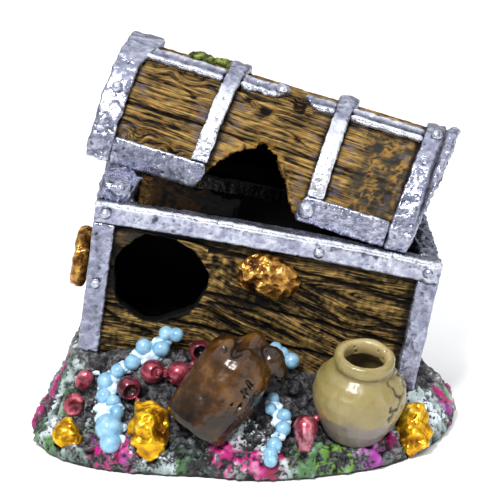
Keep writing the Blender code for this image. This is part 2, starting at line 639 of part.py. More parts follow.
def make_gold_lumps(base):
    """Three gold nuggets that sit in the rock's apron."""
    for name, x, y, lift, size, tilt, seed in (
            ("gold_nugget_left", -54.6, -29.0, 0.4, (4.2, 3.0, 5.2), -28, 1.3),
            ("gold_nugget_middle", -29.2, -36.6, 1.2, (5.6, 3.8, 8.8), -8, 5.2),
            ("gold_nugget_right", 50.8, -27.0, 1.2, (5.4, 3.8, 8.2), 8, 8.7)):
        lean = Euler((math.radians(-NUGGET_LEAN), math.radians(tilt), 0), "XYZ").to_matrix().to_4x4()
        place = Matrix.Translation(on_rock(x, y, lift)) @ lean

        def nugget(grow, size=size, seed=seed):
            return lump(Vector(s * MM + grow for s in size), seed, roughness=0.16)
        seat(base, name, nugget, place, "bright_gold", clearance=1.3)


def make_beads():
    """Blue and red bead strings, single shells and a grey pearl, just clear of the rock."""
    strings = (
        ("blue_beads_left", "blue_pearl", 2.3, 1.6,
         ((-21.5, -18, 6.5), (-26, -19.2, 5.4), (-31.5, -19.6, 5), (-35.4, -20.2, 4.8),
          (-39.4, -21.4, 4.6), (-43.6, -23.6, 4.2), (-43.4, -27.4, 4), (-40.4, -31, 4),
          (-42, -34.6, 3.8), (-40, -38.6, 3.6))),
        ("blue_beads_right", "blue_pearl", 2.0, 1.4,
         ((8.4, -29.6, 3.2), (9.8, -31.8, 3), (11.2, -34.4, 3), (9.8, -37.4, 2.9),
          (7.6, -40.6, 2.8), (7, -43.4, 2.7))),
        ("blue_beads_back", "blue_pearl", 2.1, 1.4,
         ((9.8, -18, 5.8), (12.6, -18.8, 5), (15, -19.8, 4.2))),
        ("red_beads", "red_pearl", 3.7, 1.5,
         ((-38.6, -27.8, 5.8), (-32.4, -25.4, 5.4), (-24.4, -24.4, 5.4), (-17.8, -21.6, 5.8),
          (-12.4, -18.6, 6.4))),
    )
    for name, slot, bead, neck, places in strings:
        route = smooth_route([on_rock(*place) for place in places])
        add_solid(name, bead_string(route, bead * MM, neck * MM), slot)
    for name, slot, place, size, tilt in (
            ("red_shell_left", "red_pearl", (-52.8, -24.6, 5.8), (3.4, 1.5, 4.2), 20),
            ("red_bead_left", "red_pearl", (-49.8, -19.6, 6.4), (2.6, 2.2, 3.7), 35),
            ("red_bell_right", "red_pearl", (16.6, -37.0, 5.6), (3.0, 2.6, 4.0), 8),
            ("grey_pearl", "grey_pearl", (14.6, -25.2, 4.0), (2.4, 2.3, 2.4), 0)):
        turn = Matrix.Rotation(math.radians(tilt), 4, "Y")
        body = lump(Vector(size) * MM, seed=place[0], roughness=0.03)
        add_solid(name, moved(body, Matrix.Translation(on_rock(*place)) @ turn), slot)


# ---------------------------------------------------------------- air line

def air_route():
    """Middle line of the hose: in from the back of the rock, round, and up to the chest's floor."""
    up = Vector((math.sin(CHEST_TILT), 0, math.cos(CHEST_TILT)))
    top = CHEST.matrix_basis @ Vector((AIR_AXIS_X, 0, 0))
    top -= up * 2 * GAP
    inlet = Vector((top.x - 2.2 * MM, INLET_FACE - GROMMET_LENGTH - 2 * GAP, INLET_HEIGHT))
    forward = Vector((0, -1, 0))
    bend = [inlet, inlet + forward * 8 * MM, inlet + forward * 15 * MM,
            top - up * 9 * MM + Vector((0, 3.4, 0)) * MM, top - up * 6 * MM, top - up * 3 * MM, top]
    return smooth_route(bend, 4)


def make_air_line(base, floor):
    """Hose, grommet and barbed connector in the rock; stem and air stone in the chest."""
    route = air_route()
    add_solid("air_hose", swept_pipe(route, HOSE_OUTER, HOSE_INNER), "black_rubber")
    longer = [route[0] + Vector((0, 1, 0)) * MM] + route + [route[-1] + (route[-1] - route[-2]) * 1.5]
    channel = swept(longer, [HOSE_OUTER + 2 * GAP] * len(longer), 10)
    cut(base, add_solid("hose_channel_cutter", channel, None, cutter=True))

    inlet = Vector((route[0].x, INLET_FACE, INLET_HEIGHT))
    outward = standing(inlet, Vector((0, 1, 0)))
    boss = block(Vector((inlet.x - 9 * MM, INLET_FACE, -1 * MM)),
                 Vector((inlet.x + 9 * MM, INLET_FACE + 20 * MM, 40 * MM)))
    bore = turned([(GROMMET_RADIUS + GAP, -GROMMET_LENGTH - GAP), (GROMMET_RADIUS + GAP, 2 * MM)], 20)
    cut(base, add_solid("inlet_face_cutter", boss, None, cutter=True),
        add_solid("grommet_bore_cutter", moved(bore, outward), None, cutter=True))

    grommet = [(2.45 * MM, -GROMMET_LENGTH), (GROMMET_RADIUS, -GROMMET_LENGTH), (GROMMET_RADIUS, GAP),
               (5.5 * MM, GAP), (5.5 * MM, 1.6 * MM), (2.45 * MM, 1.6 * MM)]
    add_solid("inlet_grommet", moved(turned_ring(grommet, 20), outward), "black_rubber")
    connector = [(1.1, -5.5), (2.1, -5.5), (2.1, 1.9), (3.6, 1.9), (3.6, 3.1), (2.0, 3.1), (2.0, 6),
                 (2.45, 6.3), (2.0, 8.4), (2.45, 8.7), (1.95, 11), (1.1, 11)]
    connector = [(r * MM, z * MM) for r, z in connector]
    add_solid("inlet_connector", moved(turned_ring(connector, 16), outward), "clear_plastic")

    through_floor = turned([(2.8 * MM, -2 * MM), (2.8 * MM, 8 * MM)], 16)
    place = Matrix.Translation((AIR_AXIS_X, 0, 0))
    cut(floor, add_solid("stem_hole_cutter", moved(through_floor, place), None, CHEST, cutter=True))
    flange = FLOOR_THICKNESS + GAP
    stem = [(0.9 * MM, -3.6 * MM), (1.6 * MM, -3.6 * MM), (1.6 * MM, 0), (2.5 * MM, 0), (2.5 * MM, flange),
            (5.2 * MM, flange), (5.2 * MM, flange + 1.5 * MM), (1.6 * MM, flange + 1.5 * MM),
            (1.6 * MM, flange + 8 * MM), (0.9 * MM, flange + 8 * MM)]
    add_solid("stone_stem", moved(turned_ring(stem, 14), place), "clear_plastic", CHEST)
    foot = FLOOR_THICKNESS + STONE_LIFT
    stone = [(1.95 * MM, foot + 9 * MM), (1.95 * MM, foot), (STONE_RADIUS - 0.8 * MM, foot),
             (STONE_RADIUS, foot + 0.8 * MM), (STONE_RADIUS, foot + STONE_HEIGHT - 1.5 * MM),
             (STONE_RADIUS - 1.5 * MM, foot + STONE_HEIGHT)]
    add_solid("air_stone", moved(turned(stone, 20), place), "air_stone", CHEST)


# ---------------------------------------------------------------- assembly

for leftover in list(bpy.data.objects):
    bpy.data.objects.remove(leftover, do_unlink=True)

MATERIALS = make_materials()

CHEST = bpy.data.objects.new("chest_frame", None)
CHEST.location = CHEST_FOOT
CHEST.rotation_euler = (0, CHEST_TILT, 0)
LID = bpy.data.objects.new("lid_frame", None)
LID.location = LID_CENTRE
LID.rotation_mode = "YXZ"
LID.rotation_euler = LID_TURN
for frame in (CHEST, LID):
    bpy.context.scene.collection.objects.link(frame)
bpy.context.view_layer.update()

rock = make_rock_base()
pocket = tapered(block((-CHEST_HALF_LENGTH - GAP, -CHEST_HALF_DEPTH - GAP, -GAP),
                       (CHEST_HALF_LENGTH + GAP, CHEST_HALF_DEPTH + GAP, CHEST_HEIGHT)))
cut(rock, add_solid("chest_pocket_cutter", pocket, None, CHEST, cutter=True))
chest_floor = make_chest_panels()
make_chest_straps()
make_lid_shell()
make_lid_straps()
make_lid_props()
make_rivets()
make_lock_emblem()
make_end_handle()
make_jars(rock)
make_gold_lumps(rock)
make_beads()
make_air_line(rock, chest_floor)
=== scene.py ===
import math
from itertools import product

import bpy
import numpy as np
from mathutils import Euler, Matrix, Vector


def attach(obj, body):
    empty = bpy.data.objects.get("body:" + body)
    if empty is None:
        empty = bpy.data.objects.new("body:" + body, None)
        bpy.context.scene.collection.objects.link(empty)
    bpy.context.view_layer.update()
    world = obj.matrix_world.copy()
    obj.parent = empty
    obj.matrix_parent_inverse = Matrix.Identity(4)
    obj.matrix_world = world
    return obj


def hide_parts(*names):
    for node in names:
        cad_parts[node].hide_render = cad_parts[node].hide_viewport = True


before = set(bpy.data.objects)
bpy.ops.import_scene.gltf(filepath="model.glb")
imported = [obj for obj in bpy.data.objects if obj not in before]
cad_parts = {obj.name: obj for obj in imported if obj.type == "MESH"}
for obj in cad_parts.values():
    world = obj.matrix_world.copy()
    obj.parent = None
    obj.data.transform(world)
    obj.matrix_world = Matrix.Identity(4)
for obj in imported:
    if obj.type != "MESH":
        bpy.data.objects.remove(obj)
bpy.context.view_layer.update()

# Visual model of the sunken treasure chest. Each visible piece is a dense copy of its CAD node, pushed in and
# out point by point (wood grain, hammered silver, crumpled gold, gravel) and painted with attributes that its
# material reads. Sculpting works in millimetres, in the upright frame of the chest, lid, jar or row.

MM = 0.001
ROW = Matrix.Identity(4)
SIDES = ("left", "right")

# Frames and sizes that the CAD source also states, in millimetres
ROCK_HALF_LENGTH = 67
ROCK_HALF_DEPTH = 50
CHEST_TILT = math.radians(11)
CHEST_MIDDLE_Y = 13
CHEST_FRAME = (Matrix.Translation(Vector((-2.1, CHEST_MIDDLE_Y, 19.3)) * MM)
               @ Matrix.Rotation(CHEST_TILT, 4, "Y"))
CHEST_HALF_LENGTH = 53
CHEST_HALF_DEPTH = 28
CHEST_HEIGHT = 48.5
RIM_HEIGHT = 6.2
POST_WIDTH = 6.6                      # from the corner, with the gap beside it
SWIM_HOLE = (-30.4, 27, 14.4)         # x, z and radius
LID_TURN = Euler((math.radians(-2.0), math.radians(14.3), math.radians(-11.3)), "YXZ")
LID_FRAME = Matrix.Translation(Vector((5.6, 23.2, 71.4)) * MM) @ LID_TURN.to_matrix().to_4x4()
LID_HALF_DEPTH = 27.5
LID_RISE = 34
TORN_HOLE = ((-16.5, -3), (-16.2, 4.5), (-12.5, 9.5), (-8.2, 14), (-4.5, 15.5), (-1, 18.5), (4.1, 15.9),
             (7, 11), (9.6, 9), (11.5, 4.5), (14.7, 0), (15, -3))
JUG_AXIS = Vector((0.588, 0.277, 0.76)).normalized()
JUG_CENTRE = Vector((-6.5, -33.6, 26.2))
JUG_HALF_LENGTH = 16.5
POT_AXIS = Vector((0.09, -0.2, 0.97)).normalized()
POT_FOOT = Vector((32.4, -29.2, 8.4))

# Camera, lights (place, size and power), surroundings
VIEW_TARGET = Vector((-0.0008, 0, 0.0565))
VIEW_DISTANCE = 0.5
VIEW_ELEVATION = math.radians(20)
VIEW_LENS = 115.77
VIEW_SENSOR = 36
LIGHTS = {"key": ((-0.18, -0.5, 0.62), 0.16, 7),
          "sky": ((0.1, 0.1, 2.4), 5.0, 85),
          "fill": ((0.6, -0.5, 0.3), 0.4, 1.0)}
WORLD_COLOUR = (0.95, 0.97, 1.0)
WORLD_STRENGTH = 0.5
FLOOR_HALF = 3.0
FLOOR_COLOUR = (0.93, 0.93, 0.93)
FLOOR_ROUGHNESS = 0.9

SEED = 7


# ---- noise

dice = np.random.default_rng(SEED)
DIRECTIONS = dice.normal(size=(64, 3))
DIRECTIONS /= np.linalg.norm(DIRECTIONS, axis=1)[:, None]
SPOTS = dice.random((256, 3))


def scrambled(cell, seed):
    """Whole number that looks random, for each cell of the noise grid."""
    mix = cell[:, 0] * 374761393 + cell[:, 1] * 668265263 + cell[:, 2] * 1274126177 + seed * 362437
    mix &= 0xFFFFFFFF
    return (((mix ^ (mix >> 13)) * 1103515245) & 0xFFFFFFFF) >> 15


def waves(points, seed=0):
    """Smooth gradient noise, about -1 to 1, with one wave per unit."""
    cell = np.floor(points).astype(np.int64)
    part = points - cell
    fade = part ** 3 * (part * (part * 6 - 15) + 10)
    total = np.zeros(len(points))
    for corner in product((0, 1), repeat=3):
        gradient = DIRECTIONS[scrambled(cell + corner, seed) & 63]
        share = np.where(corner, fade, 1 - fade).prod(axis=1)
        total += share * np.einsum("ij,ij->i", gradient, part - corner)
    return total * 1.5


def rough(points, seed=0, octaves=4, gain=0.5):
    """Waves of several sizes, each half as long as the one before."""
    total = np.zeros(len(points))
    for octave in range(octaves):
        total += gain ** octave * waves(points * 2 ** octave, seed + 11 * octave)
    return total


def cells(points, seed=0):
    """Distance to the nearest of scattered spots, and how much further the second nearest is."""
    cell = np.floor(points).astype(np.int64)
    nearest = np.full(len(points), 9.0)
    second = np.full(len(points), 9.0)
    for corner in product((-1, 0, 1), repeat=3):
        at = cell + corner
        away = np.linalg.norm(at + SPOTS[scrambled(at, seed) & 255] - points, axis=1)
        second = np.minimum(second, np.maximum(nearest, away))
        nearest = np.minimum(nearest, away)
    return nearest, second - nearest


def warp(points, seed):
    """Offset in all three directions that bends other noise."""
    return stack(*(waves(points, seed + axis) for axis in range(3)))


def step(low, high, values):
    """0 below low, 1 above high, smooth between."""
    share = np.clip((values - low) / (high - low), 0, 1)
    return share * share * (3 - 2 * share)


def bell(values, width):
    """1 where the values are 0, falling off smoothly over the width."""
    return np.exp(-(values / width) ** 2)


def stack(*columns):
    """Columns side by side; single numbers fill a column."""
    return np.stack(np.broadcast_arrays(*columns), axis=1).astype(float)


# ---- casts

def placed(name, data, location=(0, 0, 0), rotation=(0, 0, 0)):
    """New object in the scene."""
    made = bpy.data.objects.new(name, data)
    made.location = location
    made.rotation_euler = rotation
    bpy.context.scene.collection.objects.link(made)
    return made


class Cast:
    """Dense mesh in millimetres in a frame of its own, pushed about and painted point by point.

    node is the CAD node that it stands in for, if any.
    """

    def __init__(self, mesh, place, node=None):
        self.mesh = mesh
        self.place = place
        self.node = node
        self.points = np.zeros((len(mesh.vertices), 3))
        self.normals = np.zeros((len(mesh.vertices), 3))
        mesh.vertices.foreach_get("co", self.points.ravel())
        mesh.vertices.foreach_get("normal", self.normals.ravel())
        self.grain = self.points.copy()
        self.height = np.full(len(self.points), 0.5)
        self.tint = np.zeros((len(self.points), 4))

    def push(self, distance, direction=None):
        """Move the points along their normals, or along a direction."""
        self.points = self.points + distance[:, None] * (self.normals if direction is None else direction)

    def brush(self, colour, share):
        """Lay a colour over what is painted, as opaque as the share says."""
        share = np.clip(share, 0, 1)[:, None]
        below = self.tint[:, 3:]
        total = share + below * (1 - share)
        mixed = np.array(colour) * share + self.tint[:, :3] * below * (1 - share)
        self.tint[:, :3] = mixed / np.maximum(total, 1e-6)
        self.tint[:, 3:] = total

    def show(self, paint, name=None, slot=None, body="root"):
        """Turn the cast into a piece of the object; the slot argument is not used."""
        material, own_slot = paint
        self.mesh.vertices.foreach_set("co", self.points.ravel())
        for key, kind, field, values in (
                ("grain", "FLOAT_VECTOR", "vector", self.grain),
                ("height", "FLOAT", "value", np.clip(self.height, 0, 1)),
                ("tint", "FLOAT_COLOR", "color", self.tint)):
            attribute = self.mesh.attributes.new(key, kind, "POINT")
            attribute.data.foreach_set(field, values.astype(np.float32).ravel())
        self.mesh.transform(self.place @ Matrix.Diagonal((MM, MM, MM, 1)))
        self.mesh.materials.clear()
        self.mesh.materials.append(material)
        self.mesh.shade_smooth()
        piece = placed(name or f"{self.node}_cast", self.mesh)
        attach(piece, body)
        if self.node:
            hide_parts(self.node)


def remeshed(mesh, voxel, smoothing):
    """The mesh as even quads of one voxel's size."""
    shell = placed("shell", mesh)
    remesh = shell.modifiers.new("remesh", "REMESH")
    remesh.mode = "VOXEL"
    remesh.voxel_size = voxel
    shell.modifiers.new("smooth", "SMOOTH").iterations = smoothing
    made = bpy.data.meshes.new_from_object(shell.evaluated_get(bpy.context.evaluated_depsgraph_get()))
    bpy.data.objects.remove(shell)
    bpy.data.meshes.remove(mesh)
    return made


def dense(node, place, voxel, smoothing=2):
    """Cast of a CAD node."""
    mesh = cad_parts[node].data.copy()
    mesh.transform(Matrix.Diagonal((1000, 1000, 1000, 1)) @ place.inverted())
    return Cast(remeshed(mesh, voxel, smoothing), place, node)


def joined(shapes, place, voxel, smoothing, node=None):
    """Cast of closed shapes, each (points, faces), that merge into one skin."""
    points = []
    faces = []
    for shape_points, shape_faces in shapes:
        start = len(points)
        points.extend(tuple(point) for point in shape_points)
        faces.extend([start + i for i in face] for face in shape_faces)
    mesh = bpy.data.meshes.new("shapes")
    mesh.from_pydata(points, [], faces)
    return Cast(remeshed(mesh, voxel, smoothing), place, node)


def lathe(profile, matrix, sides=28):
    """Closed solid of revolution: (radius, height) from one pole or flat end to the other."""
    turns = [2 * math.pi * i / sides for i in range(sides)]
    points = [matrix @ Vector((r * math.cos(t), r * math.sin(t), z)) for r, z in profile for t in turns]
    faces = [list(range(sides))[::-1]]
    for row in range(len(profile) - 1):
        for i in range(sides):
            j = (i + 1) % sides
            faces.append([row * sides + i, row * sides + j, (row + 1) * sides + j, (row + 1) * sides + i])
    faces.append([(len(profile) - 1) * sides + i for i in range(sides)])
    return points, faces


def ball(centre, radius, stretch=(1, 1, 1), sides=16):
    """Round shape with its poles up and down."""
    half_turns = [math.pi * (k + 0.5) / 10 for k in range(10)]
    profile = [(radius * math.sin(t), -radius * math.cos(t)) for t in half_turns]
    return lathe(profile, Matrix.Translation(centre) @ Matrix.Diagonal((*stretch, 1)), sides)


def standing(place, axis):
    """Matrix that stands a +Z shape at a place, along an axis."""
    return Matrix.Translation(place) @ Vector((0, 0, 1)).rotation_difference(axis).to_matrix().to_4x4()


# ---- materials

class Recipe:
    """Node tree of a new Principled material."""

    def __init__(self, name, **constants):
        self.material = bpy.data.materials.new(name)
        self.material.use_nodes = True
        self.shader = self.material.node_tree.nodes["Principled BSDF"]
        self.fill(self.shader, **constants)

    def plug(self, socket, value):
        """Link an input to another node's output, or set it to a number or a colour."""
        if isinstance(value, bpy.types.NodeSocket):
            self.material.node_tree.links.new(value, socket)
        else:
            socket.default_value = value

    def fill(self, node, **sockets):
        """Plug inputs by name, with an underscore for each space."""
        for name, value in sockets.items():
            self.plug(node.inputs[name.replace("_", " ")], value)

    def add(self, kind, **sockets):
        node = self.material.node_tree.nodes.new("ShaderNode" + kind)
        self.fill(node, **sockets)
        return node

    def attribute(self, key):
        node = self.add("Attribute")
        node.attribute_name = key
        return node

    def noise(self, vector, scale, detail):
        return self.add("TexNoise", Vector=vector, Scale=scale, Detail=detail).outputs["Fac"]

    def math(self, operation, *values, clamp=False):
        node = self.add("Math")
        node.operation = operation
        node.use_clamp = clamp
        for socket, value in zip(node.inputs, values):
            self.plug(socket, value)
        return node.outputs[0]

    def combine(self, first, second, share):
        """first + (second - 0.5) * share"""
        return self.math("ADD", first, self.math("MULTIPLY_ADD", second, share, -0.5 * share))

    def ramp(self, factor, stops):
        """Colour through (position, colour) stops."""
        node = self.add("ValToRGB", Fac=factor)
        elements = node.color_ramp.elements
        while len(elements) < len(stops):
            elements.new(0.5)
        for element, (position, colour) in zip(elements, stops):
            element.position = position
            element.color = (*colour, 1)
        return node.outputs["Color"]

    def finish(self, colour, relief, relief_range, roughness, bump, bump_height):
        """Material with a colour, a roughness that follows the relief between two values, and a bump."""
        gloss = self.add("MapRange", Value=relief, From_Min=relief_range[0], From_Max=relief_range[1],
                         To_Min=roughness[0], To_Max=roughness[1])
        normal = self.add("Bump", Height=relief, Strength=bump, Distance=bump_height)
        self.fill(self.shader, Base_Color=colour, Roughness=gloss.outputs["Result"],
                  Normal=normal.outputs["Normal"])
        return self.material


COAT_ROUGHNESS = 0.12
BUMP_HEIGHT = 0.3 * MM
FINE_RANGE = (0.3, 0.7)               # where most of the fine noise lies
FRAY_RANGE = (0.4, 0.6)               # how sharply frayed tints end


def painted(name, stops, roughness, metallic=0.0, coat=0.0, mottle=0.35, mottle_scale=0.9, patch=0.25,
            patch_scale=0.12, bump=0.35, stretch=(1, 1, 1), specular=0.25, speckle=0.0):
    """Paint (material, name) whose colour follows the sculpted height, broken by two sizes of noise.

    Tints lie over it; speckle frays their edges with the fine noise, and tinted metal isn't metallic.
    """
    recipe = Recipe(name, Metallic=metallic, Coat_Weight=coat, Coat_Roughness=COAT_ROUGHNESS,
                    Specular_IOR_Level=specular)
    grain = recipe.add("Mapping", Vector=recipe.attribute("grain").outputs["Vector"], Scale=stretch)
    fine = recipe.noise(grain.outputs["Vector"], mottle_scale, 5)
    broad = recipe.noise(grain.outputs["Vector"], patch_scale, 2)
    shade = recipe.combine(recipe.attribute("height").outputs["Fac"], fine, mottle)
    shade = recipe.combine(shade, broad, patch)
    tint = recipe.attribute("tint")
    cover = tint.outputs["Alpha"]
    if speckle:
        frayed = recipe.add("MapRange", Value=recipe.combine(cover, fine, speckle),
                            From_Min=FRAY_RANGE[0], From_Max=FRAY_RANGE[1])
        cover = frayed.outputs["Result"]
    if metallic:
        bare = recipe.math("MULTIPLY_ADD", cover, -metallic, metallic, clamp=True)
        recipe.fill(recipe.shader, Metallic=bare)
    over = recipe.add("Mix")
    over.data_type = "RGBA"
    recipe.fill(over, Factor=cover, A=recipe.ramp(shade, stops), B=tint.outputs["Color"])
    return recipe.finish(over.outputs["Result"], fine, FINE_RANGE, roughness, bump, BUMP_HEIGHT), name


def moulded(name, colour, roughness, scale, transmission=0.0):
    """Plain moulded plastic or rubber with a faint uneven surface."""
    recipe = Recipe(name, Transmission_Weight=transmission)
    grain = recipe.noise(recipe.add("TexCoord").outputs["Object"], scale, 4)
    shades = [[min(1, share * channel) for channel in colour] for share in (0.8, 1.15)]
    return recipe.finish(recipe.ramp(grain, tuple(enumerate(shades))), grain, (0, 1),
                         (0.8 * roughness, 1.2 * roughness), 0.25, 0.1 * MM)


WOOD = painted(
    "weathered_wood",
    ((0.14, (0.002, 0.0015, 0.002)), (0.36, (0.024, 0.016, 0.008)), (0.58, (0.115, 0.073, 0.024)),
     (0.95, (0.32, 0.2, 0.062))),
    (0.5, 0.75), mottle=1.9, mottle_scale=1.0, patch=0.35, bump=0.8, stretch=(0.1, 2.3, 1.1), specular=0.05)
# Near-black wood: painted shade for parts inside the chest and lid or in shadow
DARK = painted(
    "dark_wood",
    ((0.1, (0.001, 0.001, 0.001)), (0.5, (0.003, 0.0025, 0.0025)), (0.9, (0.015, 0.01, 0.006))),
    (0.8, 0.95), mottle=0.4, stretch=(0.4, 1, 1), specular=0.0)
SILVER = painted(
    "silver_paint",
    ((0.1, (0.02, 0.02, 0.027)), (0.34, (0.1, 0.105, 0.14)), (0.58, (0.24, 0.25, 0.335)),
     (0.9, (0.56, 0.58, 0.63))),
    (0.14, 0.32), metallic=0.85, mottle=0.4, patch=0.2, bump=1.0)
ROCK = painted(
    "rock",
    ((0.12, (0.003, 0.003, 0.0035)), (0.48, (0.032, 0.03, 0.034)), (0.72, (0.125, 0.12, 0.125)),
     (0.95, (0.3, 0.32, 0.32))),
    (0.3, 0.6), mottle=1.6, mottle_scale=1.1, patch=0.2, bump=1.0, speckle=3.4)
OLD_GOLD = painted(
    "old_gold",
    ((0.12, (0.02, 0.006, 0.002)), (0.42, (0.17, 0.07, 0.012)), (0.66, (0.46, 0.25, 0.055)),
     (0.92, (0.95, 0.72, 0.35))),
    (0.15, 0.36), metallic=0.75, mottle=0.25, mottle_scale=0.7, bump=0.3)
BRIGHT_GOLD = painted(
    "bright_gold",
    ((0.1, (0.12, 0.035, 0.002)), (0.42, (0.42, 0.19, 0.006)), (0.66, (0.68, 0.4, 0.012)),
     (0.92, (1.0, 0.8, 0.22))),
    (0.12, 0.34), metallic=0.7, mottle=0.25, mottle_scale=0.7, bump=0.3)
BROWN_GLAZE = painted(
    "brown_glaze",
    ((0.1, (0.003, 0.0015, 0.0005)), (0.4, (0.014, 0.006, 0.0015)), (0.62, (0.045, 0.017, 0.0025)),
     (0.9, (0.115, 0.048, 0.007))),
    (0.16, 0.32), coat=0.12, specular=0.3, mottle_scale=0.35, patch=0.6, patch_scale=0.1, bump=0.15)
CLAY_GLAZE = painted(
    "clay_glaze",
    ((0.1, (0.03, 0.015, 0.006)), (0.35, (0.1, 0.072, 0.028)), (0.6, (0.18, 0.138, 0.055)),
     (0.9, (0.27, 0.22, 0.1))),
    (0.22, 0.42), coat=0.12, specular=0.5, mottle=0.3, mottle_scale=0.6, patch_scale=0.1, bump=0.15)
BLUE_PEARL = painted(
    "blue_pearl",
    ((0.1, (0.06, 0.14, 0.22)), (0.4, (0.18, 0.36, 0.49)), (0.7, (0.34, 0.54, 0.66)),
     (0.95, (0.68, 0.8, 0.88))),
    (0.14, 0.3), coat=0.5, mottle=0.25, mottle_scale=0.7, patch=0.2, bump=0.15)
RED_PEARL = painted(
    "red_pearl",
    ((0.1, (0.007, 0.002, 0.003)), (0.4, (0.1, 0.01, 0.02)), (0.7, (0.34, 0.05, 0.08)),
     (0.95, (0.7, 0.33, 0.36))),
    (0.18, 0.34), metallic=0.55, coat=0.4, mottle=0.3, mottle_scale=0.6, bump=0.15)
MOSS = painted(
    "moss",
    ((0.2, (0.01, 0.015, 0.004)), (0.5, (0.06, 0.08, 0.01)), (0.85, (0.2, 0.24, 0.035))),
    (0.5, 0.8), mottle=0.6, mottle_scale=1.2, bump=0.9)


# ---- wood

PLANK_SHIFT = 31.0                    # jump of the grain from one plank to the next
MM_PER_DEGREE = 0.55                  # arc length of one degree round the lid
GRAIN_SLOPE = 0.06                    # how far the lid's grain climbs along it
CHEST_FINENESS = 1.3
LID_FINENESS = 1.35
LID_SEAMS = (35.2, 96, 122, 148)      # barrel angles
# x, barrel angle and radius
LID_KNOTS = ((-26.3, 51.1, 1.0), (-3.8, 56.1, 1.6), (-10.2, 60.7, 1.1), (39.1, 49.3, 1.7), (8.5, 44, 0.9))
LID_CURLS = ((-43.2, 15.5, 9.5), (-30.1, 12.5, 7.5))


def line_distance(across, up, line, closed=False):
    """Distance to a bent line in its plane; a closed one returns to its start."""
    nearest = np.full(len(across), 99.0)
    for (x0, z0), (x1, z1) in zip(line, line[1:] + line[:1] if closed else line[1:]):
        dx, dz = x1 - x0, z1 - z0
        share = np.clip(((across - x0) * dx + (up - z0) * dz) / (dx * dx + dz * dz), 0, 1)
        nearest = np.minimum(nearest, np.hypot(across - x0 - share * dx, up - z0 - share * dz))
    return nearest


# Cracks in the front panel, each from one (x, z) to another
FRONT_CRACKS = (
    ((-17, 39.2), (-7, 38.8)), ((-14.3, 22.4), (0.9, 21.7)), ((-13.8, 19.8), (-3.6, 15.9)),
    ((13.5, 30.2), (24.6, 25.3)), ((13.4, 27.5), (25.9, 24.9)), ((-12, 25.4), (-4, 24.9)),
    ((20, 36.6), (47, 33.2)), ((28, 28.6), (46.5, 24.4)), ((-11, 17.4), (6, 11.5)),
    ((14, 33.8), (30, 31)), ((-47, 14.8), (-40, 11.5)), ((22, 19.5), (40, 14.8)))
INK = (0.004, 0.004, 0.004)
OCHRE = (0.3, 0.16, 0.035)
RUST = (0.2, 0.085, 0.015)
OLIVE = (0.11, 0.07, 0.012)


def wood_relief(along, across, seed, knots=(), curls=(), fineness=1.0):
    """(height from 0 in the grooves to 1 on the ridges, bent grain coordinate) of weathered planks."""
    bent = across + 0.9 * waves(stack(along / 19, across / 7, seed))
    pits = np.zeros(len(along))
    for x, v, radius in knots:
        away = np.hypot((along - x) * 0.55, across - v)
        bent = bent + np.sign(across - v) * radius * bell(away, 1.7 * radius)
        pits = np.maximum(pits, bell(np.hypot(along - x, across - v), 0.8 * radius))
    for x, v, radius in curls:
        away = np.hypot(along - x, across - v)
        share = step(0.15, 1, 1.15 - away / radius)
        bent = bent * (1 - share) + (v + 1.1 * away) * share
    bands = waves(stack(along * 0.04, bent * 0.3, seed + 0.5))
    lines = waves(stack(along * 0.07, bent * 0.7 * fineness, seed + 3.5))
    hairs = waves(stack(along * 0.14, bent * 1.3 * fineness, seed + 6.5))
    chips = waves(stack(along * 0.5, bent * 1.1, seed + 8.5))
    gaps = waves(stack(along * 0.04, bent * 0.45, seed + 9.5))
    grooves = bell(gaps, 0.1) * step(-0.2, 0.2, waves(stack(along * 0.09, across * 0.25, seed + 14.5)))
    height = 0.55 + 0.12 * bands + 0.22 * lines + 0.22 * hairs + 0.2 * chips - 0.5 * grooves - 1.2 * pits
    return np.clip(height, 0, 1), bent


